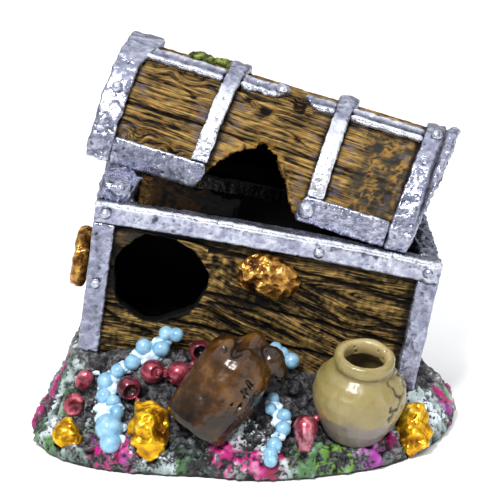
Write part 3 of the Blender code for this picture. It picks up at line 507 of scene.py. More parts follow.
def chest_panel(node, outward, voxel, seams, seed, knots=(), fan=False):
    """Plank wall of the chest. Seams are (height, slope); outward is the face's direction.

    With fan, the grain spreads from the swim hole, and there is a burl and the lock emblem's shadow.
    """
    cast = dense(node, CHEST_FRAME, voxel)
    x, y, z = cast.points.T
    along = x if outward[1] else y
    face = step(0.35, 0.75, cast.normals @ np.array(outward, float))
    across = z.copy()
    seam_depth = np.zeros(len(z))
    for number, (height, slope) in enumerate(seams):
        line = z - height - slope * along - 0.35 * waves(stack(along / 9, number, 0.5))
        across = across + PLANK_SHIFT * (line < 0)
        seam_depth = np.maximum(seam_depth, bell(line, 0.55))
    if fan:
        middle = step(-18, -8, along) * step(38, 33, z)
        across = across + middle * 0.3 * np.clip(along + 16, 0, 46)
    height, bent = wood_relief(along, across, seed, knots, fineness=CHEST_FINENESS)
    height = np.clip(height + 0.25 * rough(cast.points / 1.5, seed + 60, 2), 0, 1)
    cast.grain = stack(along, bent, y if outward[1] else x)
    if fan:
        burl = step(-18.5, -16, along) * step(-4, -8, along) * step(25, 28, z)
        lumps = np.clip(0.5 + 0.7 * rough(cast.points / 2.6, seed), 0, 1)
        height = height * (1 - burl) + lumps * burl
        emblem_shadow = np.maximum(bell(along + 1, 9) * bell(z - 27, 4.5),
                                   bell(along - 2, 11) * bell(z - 33, 7))
        height = height * (1 - 0.5 * emblem_shadow)
        cast.brush(INK, 1.35 * emblem_shadow - 0.25 + 0.3 * waves(cast.points / 2.5, 61))
        for crack in FRONT_CRACKS:
            from_crack = line_distance(along, z + 0.3 * waves(stack(along / 4, 0, seed)), crack)
            seam_depth = np.maximum(seam_depth, bell(from_crack, 0.5))
    height = height * (1 - 0.95 * seam_depth)
    cast.height = (height - 0.05) * face + 0.08 * (1 - face)
    flecks = step(0.15, 0.4, rough(stack(along / 3, bent / 1.1, seed + 30), 19, 2))
    cast.brush(OLIVE, 0.4 * flecks * face * (1 - seam_depth))
    cast.push(face * (1.15 * (height - 0.62) - 0.5 * seam_depth))
    ragged = 0.9 * waves(cast.points / 3.5, seed)
    rim_shadow = step(3.4, 0.6, CHEST_HEIGHT - RIM_HEIGHT - z + ragged)
    half = CHEST_HALF_LENGTH if outward[1] else CHEST_HALF_DEPTH
    post_shadow = step(3.2, 0.6, half - POST_WIDTH - abs(along) + ragged)
    # Painted shadow under the rim and beside the posts, and painted shade on the panel's inner faces and
    # edges
    cast.brush(INK, 0.85 * np.maximum(rim_shadow, post_shadow) * face + (1 - face))
    cast.push(0.7 * step(0.6, 0.8, cast.normals[:, 2]))
    return cast


front = chest_panel("chest_front_panel", (0, -1, 0), 0.42, ((38.6, -0.085), (23.9, -0.09), (13.0, -0.06)), 2,
                    knots=((33.2, 33.4, 1.9), (39.8, 32.8, 1.6), (26, 33, 1.2), (31.8, 29.4, 1.2)), fan=True)
x, y, z = front.points.T
from_hole = np.hypot(x - SWIM_HOLE[0], z - SWIM_HOLE[1]) - SWIM_HOLE[2]
# Painted shade on the walls and edge of the swim hole
front.brush(INK, step(0.5, -0.2, from_hole + 0.3 * waves(front.points / 2, 3)))
corner = step(-30, -38, x) * step(34, 38, z) * step(6, 2, from_hole)
front.push(corner * (0.4 + 0.9 * waves(front.points / 3.2, 5)))
front.brush((0.02, 0.017, 0.015), 0.9 * corner)
# Painted shadow on the wood left of the swim hole
front.brush(INK, 0.85 * step(-40, -45, x) * step(2.5, 0.8, from_hole))
front.show(WOOD)
splinter_root = Vector((-17.5, -26.3, 38.8))
splinter_way = Vector((-27.2, -26.9, 41.1)) - splinter_root
splinter = joined([lathe(((0.9, 0), (1.2, 2.5), (0.8, 6.5), (0.15, splinter_way.length)),
                         standing(splinter_root, splinter_way.normalized()))], CHEST_FRAME, 0.22, 1)
splinter.height = 0.6 + 0.3 * waves(splinter.points * (0.2, 1.5, 1.5), 9)
splinter.show(WOOD, "hole_splinter")
chest_panel("chest_back_panel", (0, 1, 0), 0.7, ((37.5, 0.01), (24, -0.01), (12, 0.01)), 21,
            knots=((-20, 30, 2), (25, 17, 1.8))).show(WOOD)
for side, sign in (("left", -1), ("right", 1)):
    chest_panel(f"chest_{side}_end", (sign, 0, 0), 0.6, ((37.5, 0.02), (24, -0.03), (12, 0.01)), 33 + sign,
                knots=((6, 31, 1.6),)).show(WOOD)


def dark_plate(node, place, voxel, seed):
    """Cast of near-black wood for parts that are mostly in shadow, where the black is painted shade."""
    cast = dense(node, place, voxel)
    height, bent = wood_relief(cast.points[:, 0], cast.points[:, 1] + cast.points[:, 2], seed)
    cast.grain = stack(cast.points[:, 0], bent, cast.points[:, 2])
    cast.height = height
    cast.push(0.5 * (height - 0.6))
    return cast


dark_plate("chest_floor", CHEST_FRAME, 0.8, 41).show(DARK)


# ---- lid

def barrel(points):
    """(barrel angle in degrees from the front edge, depth below the straps' faces) of lid points."""
    y = -points[:, 1] / LID_HALF_DEPTH
    z = points[:, 2] / LID_RISE
    return np.degrees(np.arctan2(z, y)), (1 - np.hypot(y, z)) * 30


def at_grain(x, degrees):
    """Grain coordinate across the planks of a spot on the lid."""
    planks_above = sum(degrees < seam for seam in LID_SEAMS)
    return degrees * MM_PER_DEGREE + PLANK_SHIFT * planks_above + GRAIN_SLOPE * x


def make_lid_shell():
    """Weathered planks of the lid, with the ochre-edged torn hole."""
    cast = dense("lid_shell", LID_FRAME, 0.5)
    x, y, z = cast.points.T
    angle, depth = barrel(cast.points)
    radial = stack(0, y / LID_HALF_DEPTH ** 2, z / LID_RISE ** 2)
    radial /= np.linalg.norm(radial, axis=1)[:, None]
    face = step(0.4, 0.8, np.einsum("ij,ij->i", cast.normals, radial)) * (depth < 4)
    across = angle * MM_PER_DEGREE
    seam_depth = np.zeros(len(x))
    for number, degrees in enumerate(LID_SEAMS):
        line = (angle - degrees) * MM_PER_DEGREE - 0.3 * waves(stack(x / 10, number, 0.5))
        across = across + PLANK_SHIFT * (line < 0)
        seam_depth = np.maximum(seam_depth, bell(line, 0.5))
    bay = 7.0 * (x > -17) + 13.0 * (x > 19)
    knots, curls = ([(kx, at_grain(kx, degrees), radius) for kx, degrees, radius in spots]
                    for spots in (LID_KNOTS, LID_CURLS))
    height, bent = wood_relief(x, across + GRAIN_SLOPE * x, 50, knots, curls, LID_FINENESS)
    cast.grain = stack(x, bent + bay, z)
    right_bay = step(26, 31, x + 2 * waves(cast.points / 5, 9)) * step(72, 62, angle) * step(8, 14, angle)
    warped = cast.points / 2.6 + 0.9 * warp(cast.points / 3.1, 1)
    veins = bell(cells(warped, 5)[1], 0.15) * step(-0.25, 0.15, waves(cast.points / 3.3, 6))
    dull = step(0.1, 0.35, waves(cast.points / 5, 7))
    speckled = 0.26 + 0.3 * veins + 0.45 * rough(cast.points / 1.5, 8, 2)
    height = height * (1 - 0.8 * right_bay) + 0.8 * right_bay * speckled
    flecks = step(0.15, 0.4, rough(stack(x / 2.6, bent / 1.1, 77), 19, 2))
    cast.brush(RUST, 0.4 * flecks * face * (1 - seam_depth))
    cast.brush((0.026, 0.026, 0.022), 0.68 * right_bay)
    cast.brush(OCHRE, right_bay * veins * (0.75 - 0.5 * dull))
    dark_patch = bell(x - 40, 3.5) * bell(angle - 27, 4.5)
    cast.brush(INK, 0.8 * dark_patch)
    scar = bell(x - 5.5, 3.4) * bell(angle - 70, 8)
    scar_pits = step(0.45, 0.8, scar + 0.35 * rough(cast.points / 2.5, 8))
    height = height * (1 - scar_pits)
    height = height * (1 - 0.95 * seam_depth)
    cast.height = (height + 0.05) * face
    cast.push(face * (1.15 * (height - 0.62) - 0.5 * seam_depth - 0.5 * scar_pits))
    hole = line_distance(x, z, TORN_HOLE, closed=True)
    front_side = step(-6, -9, y) * step(26, 22, z)
    ragged = 0.7 * rough(cast.points / 3, 12)
    # Painted shade on the lid's inner faces and edges
    cast.brush(INK, 1 - face)
    rim = front_side * step(2.3, 0.9, hole + ragged) * step(6.4, 4.2, depth)
    chewed = np.clip(0.45 + 1.1 * rough(cast.points / 1.7, 17, 3), 0, 1)
    cast.brush((0.3, 0.17, 0.03), 0.75 * rim * (1 - 0.3 * step(2, 8, x)) * face * chewed)
    cast.brush(INK, 0.8 * rim * face * step(0.35, 0.15, chewed))
    cast.brush((0.2, 0.09, 0.015), 0.8 * front_side * step(1.8, 0.6, hole) * (1 - face) * step(6.2, 2, depth)
               * chewed)
    cast.push(front_side * step(3.5, 0.5, hole) * 0.9 * rough(cast.points / 2.2, 31, 3))
    edges = np.minimum.reduce([abs(x + 45.6), abs(x + 17.5 - 0.9 * np.sin(np.radians(angle))) - 2.4,
                               abs(x - 19.1) - 2.4, abs(x - 44.0)])
    dust = step(0.0, 0.5, rough(cast.points / (5, 3, 3), 23, 3)) * step(7, 1.5, edges)
    cast.brush((0.075, 0.07, 0.095), 0.6 * face * dust)
    # Painted shade on the wood along the straps' edges and below the shoulder strap
    cast.brush(INK, 0.9 * face * step(1.6, 0.3, edges + 0.5 * waves(cast.points / 3, 21)))
    cast.brush(INK, 0.75 * face * step(2.2, 0.2, abs(angle - 66.5) + 1.3 * waves(cast.points / 3, 22))
               * (abs(x - 5) > 5))
    cast.show(WOOD)


make_lid_shell()
for side in SIDES:
    dark_plate(f"lid_{side}_end", LID_FRAME, 0.7, 61).show(DARK)


MOSS_TUFTS = 40
moss_dice = np.random.default_rng(SEED + 1)
tufts = []
for _ in range(MOSS_TUFTS):
    tilt = math.radians(moss_dice.uniform(89, 103))
    place = Vector((moss_dice.uniform(-33, -16), -(LID_HALF_DEPTH - 1.2) * math.cos(tilt),
                    (LID_RISE - 1.2) * math.sin(tilt)))
    tufts.append(ball(place, moss_dice.uniform(1.1, 2.0), (1.3, 1.2, 0.9)))
moss = joined(tufts, LID_FRAME, 0.3, 1)
moss.push(0.5 * rough(moss.points / 1.6, 91, 2))
moss.height = 0.5 + 0.6 * rough(moss.points / 2.4, 92, 2)
moss.show(MOSS, "lid_moss", "weathered_wood")


# ---- silver

def hammered(node, place, voxel, seed, bend=0.2, lumps=0.32, swell=0.12):
    """Silver strap with wavering edges and a hammered face; pits and folds stay dark."""
    cast = dense(node, place, voxel)
    for axis in range(3):
        cast.points[:, axis] += bend * waves(cast.grain / 5.5, seed + axis)
    near = cells(cast.grain / 2.4, seed + 3)[0]
    broad = rough(cast.grain / 4.2, seed + 4, 3)
    fine = rough(cast.grain / 1.5, seed + 5, 2)
    pits = step(0.5, 0.66, waves(cast.grain / 1.6, seed + 6))
    cast.push(swell + lumps * (0.6 * broad + 0.9 * (0.5 - near) + 0.35 * fine) - 0.2 * pits)
    tone = 0.61 if place is LID_FRAME else 0.56
    cast.height = np.clip(tone + 0.1 * broad + 0.12 * fine + 0.2 * (0.4 - near), 0.3, 1) - 0.35 * pits
    return cast


# Colour of the painted shade where silver meets wood
CORNER_SHADE = (0.02, 0.02, 0.025)


def shade_below(cast, depth, start=0.9, end=1.6):
    """Painted shade in the corner between a strap and the wood."""
    cast.brush(CORNER_SHADE, 0.9 * step(start, end, depth + 0.25 * waves(cast.points / 1.6, 4)))


for side, y_sign, voxel in (("front", -1, 0.42), ("back", 1, 0.65)):
    cast = hammered(f"chest_rim_{side}", CHEST_FRAME, voxel, 100, lumps=0.22)
    x, y, z = cast.grain.T
    ledge = step(0.5, -0.3, CHEST_HEIGHT - 1.1 - z) * step(2.2, 1.2, CHEST_HALF_DEPTH - y_sign * y)
    cast.push(0.28 * ledge)
    # Painted highlight on the raised top ledge, and the rim's outer face painted a little lighter
    cast.height += 0.25 * ledge + 0.1 * step(1.5, 0.5, CHEST_HALF_DEPTH - y_sign * y)
    # Painted shade along the rim's lower edge, against the wood
    cast.brush(CORNER_SHADE, 0.9 * step(0.5, 0.1, z - (CHEST_HEIGHT - RIM_HEIGHT)))
    if side == "front":
        cast.points[:, 2] += 0.9 * (1 - (x / CHEST_HALF_LENGTH) ** 2)
    else:
        # Painted shade on the back rim's inner side
        cast.brush(INK, step(0.3, -0.3, cast.normals[:, 1]) + (abs(x) < 46) * step(28, 27, y))
    cast.push(step(44, 51, x) * 0.5 * rough(cast.grain / 3, 71))
    cast.show(SILVER)
for number, side in enumerate(SIDES):
    cast = hammered(f"chest_rim_{side}", CHEST_FRAME, 0.45, 107 + number, 0.6, 0.8)
    cast.show(SILVER)
for number, (end, side) in enumerate(product(SIDES, ("front", "back"))):
    cast = hammered(f"corner_post_{side}_{end}", CHEST_FRAME, 0.42, 120 + number, lumps=0.25)
    x, y, z = cast.grain.T
    shade_below(cast, np.minimum(CHEST_HALF_LENGTH - abs(x), CHEST_HALF_DEPTH - abs(y)), 0.9, 2.6)
    cast.show(SILVER)

for number, side in enumerate(SIDES):
    cast = hammered(f"lid_{side}_band", LID_FRAME, 0.45, 130 + number, bend=0.5, lumps=0.42)
    x = cast.grain[:, 0]
    angle, depth = barrel(cast.grain)
    shade_below(cast, depth * (abs(x) < 46.5), 1.0, 1.7)
    if side == "right":
        slit = bell(x - 50.9 + 0.4 * waves(cast.grain / 4, 82), 0.55) * step(10, 25, angle)
        cast.push(-1.3 * slit + 0.9 * step(51.4, 51.9, x) * rough(cast.grain / 2.6, 83))
        # Painted shade in the slit between the right band and its outer lumps
        cast.brush((0.012, 0.01, 0.016), slit * 1.2)
    else:
        cast.points[:, 0] += 3.2 * bell(angle - 88, 17) * step(-51, -46, x)
        cast.points[:, 2] += 0.8 * bell(angle - 92, 14)
    # Painted shade low on the band's sides, towards the wood, in patches
    patchy = step(0.2, 0.7, 0.6 + rough(cast.grain / 3, 5))
    cast.brush((0.03, 0.03, 0.035), 0.8 * step(2.5, 4.5, depth) * patchy)
    cast.show(SILVER)
straps = [f"lid_{side}_cross_strap" for side in SIDES]
straps += [f"lid_low_strap_{side}" for side in ("left", "right", "back")]
straps += [f"lid_shoulder_strap_{part}" for part in ("left", "middle", "torn", "right")]
for number, node in enumerate(straps):
    cast = hammered(node, LID_FRAME, 0.4 if "back" not in node else 0.6, 140 + number)
    angle, depth = barrel(cast.grain)
    shade_below(cast, depth)
    if "shoulder" in node:
        groove = bell(angle - 72.5, 2.2)
        ledge = bell(angle - 69.2, 1.6) + 0.7 * bell(angle - 76.5, 1.8)
        strength = 1.0 if node.endswith("right") else 0.6
        cast.push(strength * (0.45 * ledge - 0.4 * groove))
        cast.height += strength * (0.4 * ledge - 0.3 * groove)
        if "torn" in node or "middle" in node:
            cast.push(0.5 * rough(cast.grain / 3, 77))
    if "cross" in node:
        # Painted highlight on the lower part of the cross strap
        cast.height += 0.3 * step(66, 58, angle)
        crown = bell(angle - 92, 11)
        cast.push(crown * (0.8 + 0.8 * waves(cast.grain / 4, 81)))
    cast.show(SILVER)

hammered("lid_prop_block", CHEST_FRAME, 0.4, 160, bend=0.7, lumps=0.8).show(SILVER)
wedge = dark_plate("lid_wedge", CHEST_FRAME, 0.45, 71)
wedge.push(0.9 * rough(wedge.points / 3, 73))
x = wedge.points[:, 0]
wedge.brush((0.012, 0.007, 0.004), step(-38, -34, x))
# Black in patches, and painted shade over the right end, which lies under the lid
wedge.brush(INK, step(-0.1, 0.2, rough(wedge.points / 2.5, 76)) + step(-24, -18, x))
wedge.brush(OCHRE, 0.14 * bell(x + 40, 3.5) * (0.4 + 0.8 * waves(wedge.points / 2, 74)))
wedge.show(DARK)
back_rest = dark_plate("lid_back_rest", CHEST_FRAME, 0.6, 75)
back_rest.push(1.8 * step(0.3, 0.7, back_rest.normals[:, 2]))
# Painted shade on its faces towards the front, inside the chest
back_rest.brush(INK, step(0.2, -0.2, back_rest.normals[:, 1]))
back_rest.show(DARK)
rivets = [f"rim_rivet_{side}" for side in ("left", "middle", "right")] + ["post_rivet_left"]
rivets += [f"lid_rivet_{side}" for side in ("left", "low", "right", "shoulder")]
for number, node in enumerate(rivets):
    place = LID_FRAME if node.startswith("lid") else CHEST_FRAME
    cast = hammered(node, place, 0.22, 170 + number, bend=0.15, lumps=0.2, swell=0.25)
    # Painted highlight: the rivets a little lighter than the straps
    cast.height += 0.15
    cast.show(SILVER)


# ---- gold

def crumpled(node, place, paint, seed, size=2.6, depth=1.0, voxel=0.32, swell=0.1):
    """Crumpled metal foil: sharp ridges between hollows."""
    cast = dense(node, place, voxel)
    near = cells(cast.grain / size + 0.45 * warp(cast.grain / (1.6 * size), seed + 1), seed)[0]
    folds = 1 - abs(waves(cast.grain / (1.3 * size), seed + 5)) * 2.2
    fine = 1 - abs(waves(cast.grain / (0.5 * size), seed + 6)) * 2
    relief = 0.55 * (1 - near) + 0.4 * folds + 0.1 * fine - 0.35
    cast.push(depth * relief + swell)
    cast.height = 0.3 + 0.85 * relief
    cast.show(paint)


crumpled("lock_emblem", CHEST_FRAME, OLD_GOLD, 201, 3.0, 1.6, 0.28)
crumpled("end_handle_ring", CHEST_FRAME, OLD_GOLD, 211, 2.4, 1.1, 0.3, 0.6)
crumpled("end_handle_boss", CHEST_FRAME, OLD_GOLD, 221, 2.2, 0.4, 0.3)
for number, (side, swell) in enumerate((("left", -0.35), ("middle", 0.1), ("right", -0.2))):
    crumpled(f"gold_nugget_{side}", ROW, BRIGHT_GOLD, 231 + 7 * number, 3.6, 1.7, swell=swell)


# ---- jars

jug_frame = standing((JUG_CENTRE - JUG_AXIS * JUG_HALF_LENGTH) * MM, JUG_AXIS)
jug = dense("brown_jug", jug_frame, 0.35, 10)
x, y, z = jug.grain.T
broken = step(22, 27, z)
jug.push(0.35 * rough(jug.grain / 9, 301, 2) + 0.12 * rough(jug.grain / 2.5, 302, 2)
         + broken * 0.45 * rough(jug.grain / 3.2, 304, 2))
notch = bell(x + 4.1, 1.5) * step(24, 28, z)
jug.push(2.6 * notch, np.array((0, 0.5, -0.87)))
lobe_pit = bell(x + 7.6, 1.0) * bell(z - 25.4, 1.1) * (y < 0)
jug.push(-1.2 * lobe_pit)
jug.brush(INK, 0.9 * bell(x + 4.1, 0.8) * step(22.5, 24.5, z) * step(0, -4, y) + lobe_pit)
jug.height = 0.55 + 0.5 * rough(jug.grain / 11, 303, 3)
front_of_jug = jug_frame.to_3x3().inverted() @ Vector((0, -0.94, 0.34))
middle_band = bell(x - 6, 4.0) * bell(z - 17, 6) * step(0.2, 0.6, jug.normals @ np.array(front_of_jug))
holes = step(0.08, 0.26, waves(jug.grain / 2.2, 305) * middle_band)
crackle = bell(cells(jug.grain / 1.6, 306)[1], 0.1) * bell(x - 6, 4) * bell(z - 12, 4)
jug.push(-1.2 * holes - 0.3 * crackle)
jug.brush(INK, 1.5 * holes)
jug.brush((0.02, 0.012, 0.008), 0.5 * crackle)
# Painted shade: the jug darker towards its foot
jug.brush((0.009, 0.006, 0.004), step(3.5, 0.5, z + 1.5 * waves(jug.grain / 4, 307)))
jug.show(BROWN_GLAZE)

pot = dense("tan_pot", standing(POT_FOOT * MM, POT_AXIS), 0.35, 12)
x, y, z = pot.grain.T
radius = np.hypot(x, y)
lip = step(24.6, 26, z)
pot.push(0.2 * rough(pot.grain / 9, 311, 2) + 0.05 * rough(pot.grain / 2, 312, 2)
         + lip * 0.45 * waves(pot.grain / 6, 316))
pot.height = 0.6 + 0.3 * rough(pot.grain / 6, 313, 3)
drip = z + 2.6 * waves(pot.grain / 6, 314)
pot.brush((0.2, 0.16, 0.052), 0.7 * step(9, 14, drip))
pot.brush((0.118, 0.1, 0.083), 0.95 * step(12.5, 9.5, drip))
pot.brush((0.1, 0.07, 0.025), 0.8 * bell(z - 24.9, 0.8) * (radius > 7))
# Painted light inside the pot's mouth, lighter than the glaze outside
inside = step(8.2, 6.6, radius) * step(18, 23, z)
pot.brush((0.33, 0.25, 0.11), 0.8 * inside)
flaw = bell(x - 10.5, 3.4) * bell(z - 19.5, 7) * (y < 2)
pocks = step(0.08, 0.24, waves(pot.grain / 1.9, 317) * flaw)
pocks += step(0.4, 0.55, waves(pot.grain / 1.6, 318)) * inside
pot.push(-0.7 * pocks)
pot.brush((0.035, 0.018, 0.006), pocks)
pot.show(CLAY_GLAZE)


# ---- beads

def strand(node, beads, web, seed):
    """Show blue beads joined by a web; beads and web are (x, y, z, radius)."""
    beads = [(x, y - 0.8, z + 0.4, 1.08 * radius) for x, y, z, radius in beads]
    shapes = [ball(Vector(place), radius) for *place, radius in beads]
    shapes += [ball(Vector(place), 1.05 * radius, (1.25, 1, 0.85), 12) for *place, radius in web]
    cast = joined(shapes, ROW, 0.28, 1, node)
    nearest = np.full(len(cast.points), 9.0)
    for *place, radius in beads:
        nearest = np.minimum(nearest, np.linalg.norm(cast.points - place, axis=1) / radius)
    on_bead = step(1.14, 1.0, nearest)
    holes = step(0.45, 0.6, waves(cast.points / 2.6, seed + 5)) * (1 - on_bead)
    cast.push((1 - on_bead) * (0.4 * rough(cast.points / 1.8, seed, 2) - 0.3) - 0.7 * holes)
    cast.height = 0.82 - 0.36 * on_bead + 0.25 * waves(cast.points / 2, seed + 3)
    # Painted shade round each bead where it meets the web
    cast.brush((0.06, 0.17, 0.32), 0.8 * bell(nearest - 1.06, 0.07))
    cast.brush(INK, 0.9 * holes)
    cast.show(BLUE_PEARL)


def between(beads, radius):
    """Small blobs half way between neighbouring beads."""
    return [(*[(p + q) / 2 for p, q in zip(a[:3], b[:3])], radius) for a, b in zip(beads, beads[1:])]


# x, y, z and radius of the beads, the radius of the web between them, and the web's thicker blobs
BLUE_STRINGS = {
    "left": (
        ((-21.5, -16.4, 34.8, 2.1), (-24.6, -16, 35.1, 2.2), (-26.1, -17.6, 30.8, 2.5),
         (-31.4, -17.1, 31.2, 2.4), (-34.9, -19.1, 26.8, 2.3), (-39.4, -19.2, 24.0, 2.2),
         (-43.1, -20.0, 20.9, 2.6), (-43.6, -22.9, 17.3, 2.3), (-40.4, -25.2, 16.4, 2.1),
         (-39.3, -28.9, 14.5, 2.1), (-41.5, -33.2, 11.4, 3.9), (-40.9, -37.2, 8.6, 3.0)), 2.3,
        [(-28.7, -18.2, 28.8, 2.8), (-30.4, -18.6, 27.0, 2.3), (-26.6, -17.6, 33, 2.0),
         (-37, -19.0, 25.2, 2.6), (-41.2, -20.5, 22.0, 2.4), (-46.3, -18.3, 23.2, 1.1),
         (-42.3, -30.2, 13.4, 3.1), (-38.2, -33.2, 11.6, 2.1), (-44.6, -26, 14.6, 2.0),
         (-41.0, -22.4, 19.4, 2.1), (-38.2, -36.4, 9.6, 1.8)]),
    "right": (
        ((8.1, -27.9, 18.9, 1.7), (7.2, -31.0, 16.8, 1.7), (11.3, -32.6, 15.2, 2.1),
         (10.9, -36.6, 13.0, 2.2), (8.2, -41.6, 10.2, 2.2), (7.0, -44.4, 8.6, 2.0),
         (7.0, -46.0, 7.2, 1.9)), 2.0,
        [(9.4, -34.4, 13.8, 2.0), (9.4, -29.6, 17.0, 1.6), (5.8, -42.8, 9.2, 1.5)]),
    "back": (
        ((8.9, -15.8, 30.1, 1.9), (11.0, -15.8, 28.4, 1.9), (13.8, -16.6, 26.2, 2.4)), 1.5,
        []),
}
for number, (side, (beads, web_radius, thick_web)) in enumerate(BLUE_STRINGS.items()):
    strand(f"blue_beads_{side}", beads, between(beads, web_radius) + thick_web, 401 + 10 * number)


def hollow_bead(centre, radius, facing, mouth, depth):
    """Ball with a round opening that faces a direction and a cup behind it."""
    lip = math.asin(mouth / radius)
    profile = []
    for k in range(13):
        turn = (math.pi - lip) * (k + 0.4) / 13
        profile.append((radius * math.sin(turn), -radius * math.cos(turn)))
    top = radius * math.cos(lip)
    profile += [(mouth, top), (0.92 * mouth, top - 0.1 * radius), (0.85 * mouth, top - 0.6 * depth),
                (0.45 * mouth, top - depth), (0.1, top - 1.1 * depth)]
    return lathe(profile, standing(Vector(centre), Vector(facing).normalized()))


# Centre, radius, the way the mouth faces, the mouth's radius and depth
RED_HOLLOWS = (((-35.8, -25.5, 21.3), 3.7, (0.35, -0.9, -0.1), 2.5, 2.2),
               ((-28.6, -23.7, 26.0), 3.7, (0.4, -0.9, 0.25), 1.7, 1.0),
               ((-20.7, -24.2, 25.6), 3.7, (-0.75, -0.6, -0.45), 1.3, 1.4),
               ((-14.3, -18.9, 30.6), 3.4, (0.15, -0.95, 0.1), 2.3, 3.0))
RED_LINKS = ((-26.6, -25.6, 26.2, 1.1), (-24.6, -24.6, 24.9, 1.0), (-24.4, -24.4, 26.2, 0.8),
             (-16.2, -22.2, 27.4, 1.2), (-17.5, -24.4, 24.4, 1.1), (-32.9, -27.3, 17.8, 0.9))
red = joined([hollow_bead(*hollow) for hollow in RED_HOLLOWS]
             + [ball(Vector(place), radius) for *place, radius in RED_LINKS], ROW, 0.25, 1, "red_beads")
red.height = 0.55 + 0.3 * waves(red.points / 4, 431)
# Painted shade in the cups of the two deepest hollow beads
for centre in (RED_HOLLOWS[0][0], RED_HOLLOWS[-1][0]):
    deep = bell(np.linalg.norm(red.points - centre, axis=1), 2.6)
    red.height -= 0.5 * deep
    red.brush((0.01, 0.003, 0.004), deep * 1.2)
red.show(RED_PEARL)

bell_dome = Vector((17.6, -37.0, 13.6))
bell_way = Vector((17.0, -42.4, 8.2)) - bell_dome
taper = ((3.4, 0), (3.5, 1.5), (2.9, 4.5), (1.7, bell_way.length))
cast = joined([ball(bell_dome, 3.8), ball(Vector((21.0, -34.6, 15.4)), 1.3),
               ball(Vector((19.6, -35.2, 14.8)), 1.2),
               lathe(taper, standing(bell_dome, bell_way.normalized()))], ROW, 0.25, 2, "red_bell_right")
below = step(1.0, 2.6, (cast.points - np.array(bell_dome)) @ np.array(bell_way.normalized()))
cast.height = 0.62 + 0.3 * rough(cast.points / 3, 443, 2) - 0.3 * below
cast.brush((0.42, 0.16, 0.2), 0.75 * below * np.clip(0.6 + rough(cast.points / 2, 445), 0, 1))
cast.show(RED_PEARL)

for node, seed, paint in (("red_shell_left", 441, RED_PEARL), ("red_bead_left", 442, RED_PEARL),
                          ("grey_pearl", 444, ROCK)):
    cast = dense(node, ROW, 0.25, 14)
    cast.push(0.15 + 0.15 * rough(cast.grain / 2.5, seed, 2))
    if node == "red_shell_left":
        middle = cast.grain.mean(axis=0)
        dish = bell(np.linalg.norm((cast.grain - middle)[:, (0, 2)], axis=1), 2.6)
        dish *= cast.grain[:, 1] < middle[1]
        cast.push(-2.0 * dish)
        cast.height -= 0.25 * dish
    cast.height += 0.08 + 0.35 * rough(cast.grain / 3.5, seed + 9, 2)
    if paint is ROCK:
        cast.height -= 0.2
    cast.show(paint, slot="grey_pearl" if paint is ROCK else None)


# ---- rock

MAGENTA = (0.38, 0.004, 0.14)
PURPLE = (0.26, 0.025, 0.24)
CRIMSON = (0.26, 0.004, 0.05)
GREEN = (0.06, 0.15, 0.05)
BRIGHT_GREEN = (0.12, 0.27, 0.015)
CHALK = (0.5, 0.57, 0.6)
SAGE = (0.09, 0.135, 0.115)
JUG_SHADE = (0.004, 0.009, 0.007)

DABS = (  # colour, then x, y and radius of each dab of it on the rock
    (MAGENTA, (-64.8, -13.2, 4.5), (-61.8, -10.3, 3.0), (-57.7, -9.7, 2.6), (-44.6, -37.6, 2.6),
     (-41.1, -43.7, 4.0), (-37.3, -38.3, 3.6), (-36.2, -46.2, 2.8), (-7.3, -41.7, 4.2), (-2.6, -42.0, 3.2),
     (1.6, -44.1, 2.6), (4.5, -48.6, 4.0), (42.8, -32.4, 2.8), (43.6, -40.3, 3.2), (63.7, 2.4, 3.0),
     (61.9, -7.4, 3.0), (66.4, 2.1, 2.6)),
    (PURPLE, (-45.7, -31.2, 2.4), (-46.4, -44.1, 2.8), (-36.2, -42.2, 1.8), (37.5, -38.9, 4.2),
     (63.5, -10.8, 2.4)),
    (CRIMSON, (7.8, -46.4, 2.4), (10.6, -44.2, 2.2)),
    (JUG_SHADE, (-17, -42.5, 4.5), (-12.5, -44, 3.4), (-21, -40, 3.0)),
    (GREEN, (-60.4, -35.8, 4.0), (-53.5, -28.4, 3.0), (-64.0, -22.0, 3.4), (-57.0, -16.0, 2.6),
     (-60.0, -30.0, 3.0), (-22.2, -48.3, 3.2), (-18.9, -43.4, 2.6), (15.2, -44.4, 3.4), (20.3, -43.2, 5.6),
     (62.3, -4.2, 1.8), (-55.0, -20.0, 2.6)),
    (BRIGHT_GREEN, (25.9, -42.2, 5.0), (31.0, -43.6, 3.4), (-62.5, -29.7, 2.2)),
    (CHALK, (-48.3, -23.6, 3.2), (-31.2, -44.9, 3.4), (-22.7, -43.3, 2.0), (-0.8, -37.5, 5.0),
     (11.6, -47.1, 2.6), (45.3, -27.6, 2.4), (53.3, -15.8, 4.4), (57.9, -14.6, 3.2), (59.1, -18.9, 3.0),
     (-61.5, -25.7, 2.2)),
)
CHALK_LINE = ((-52.3, -15.5), (-58.3, -16.6), (-61.1, -17.7), (-61.6, -20.4), (-59.1, -22.9))


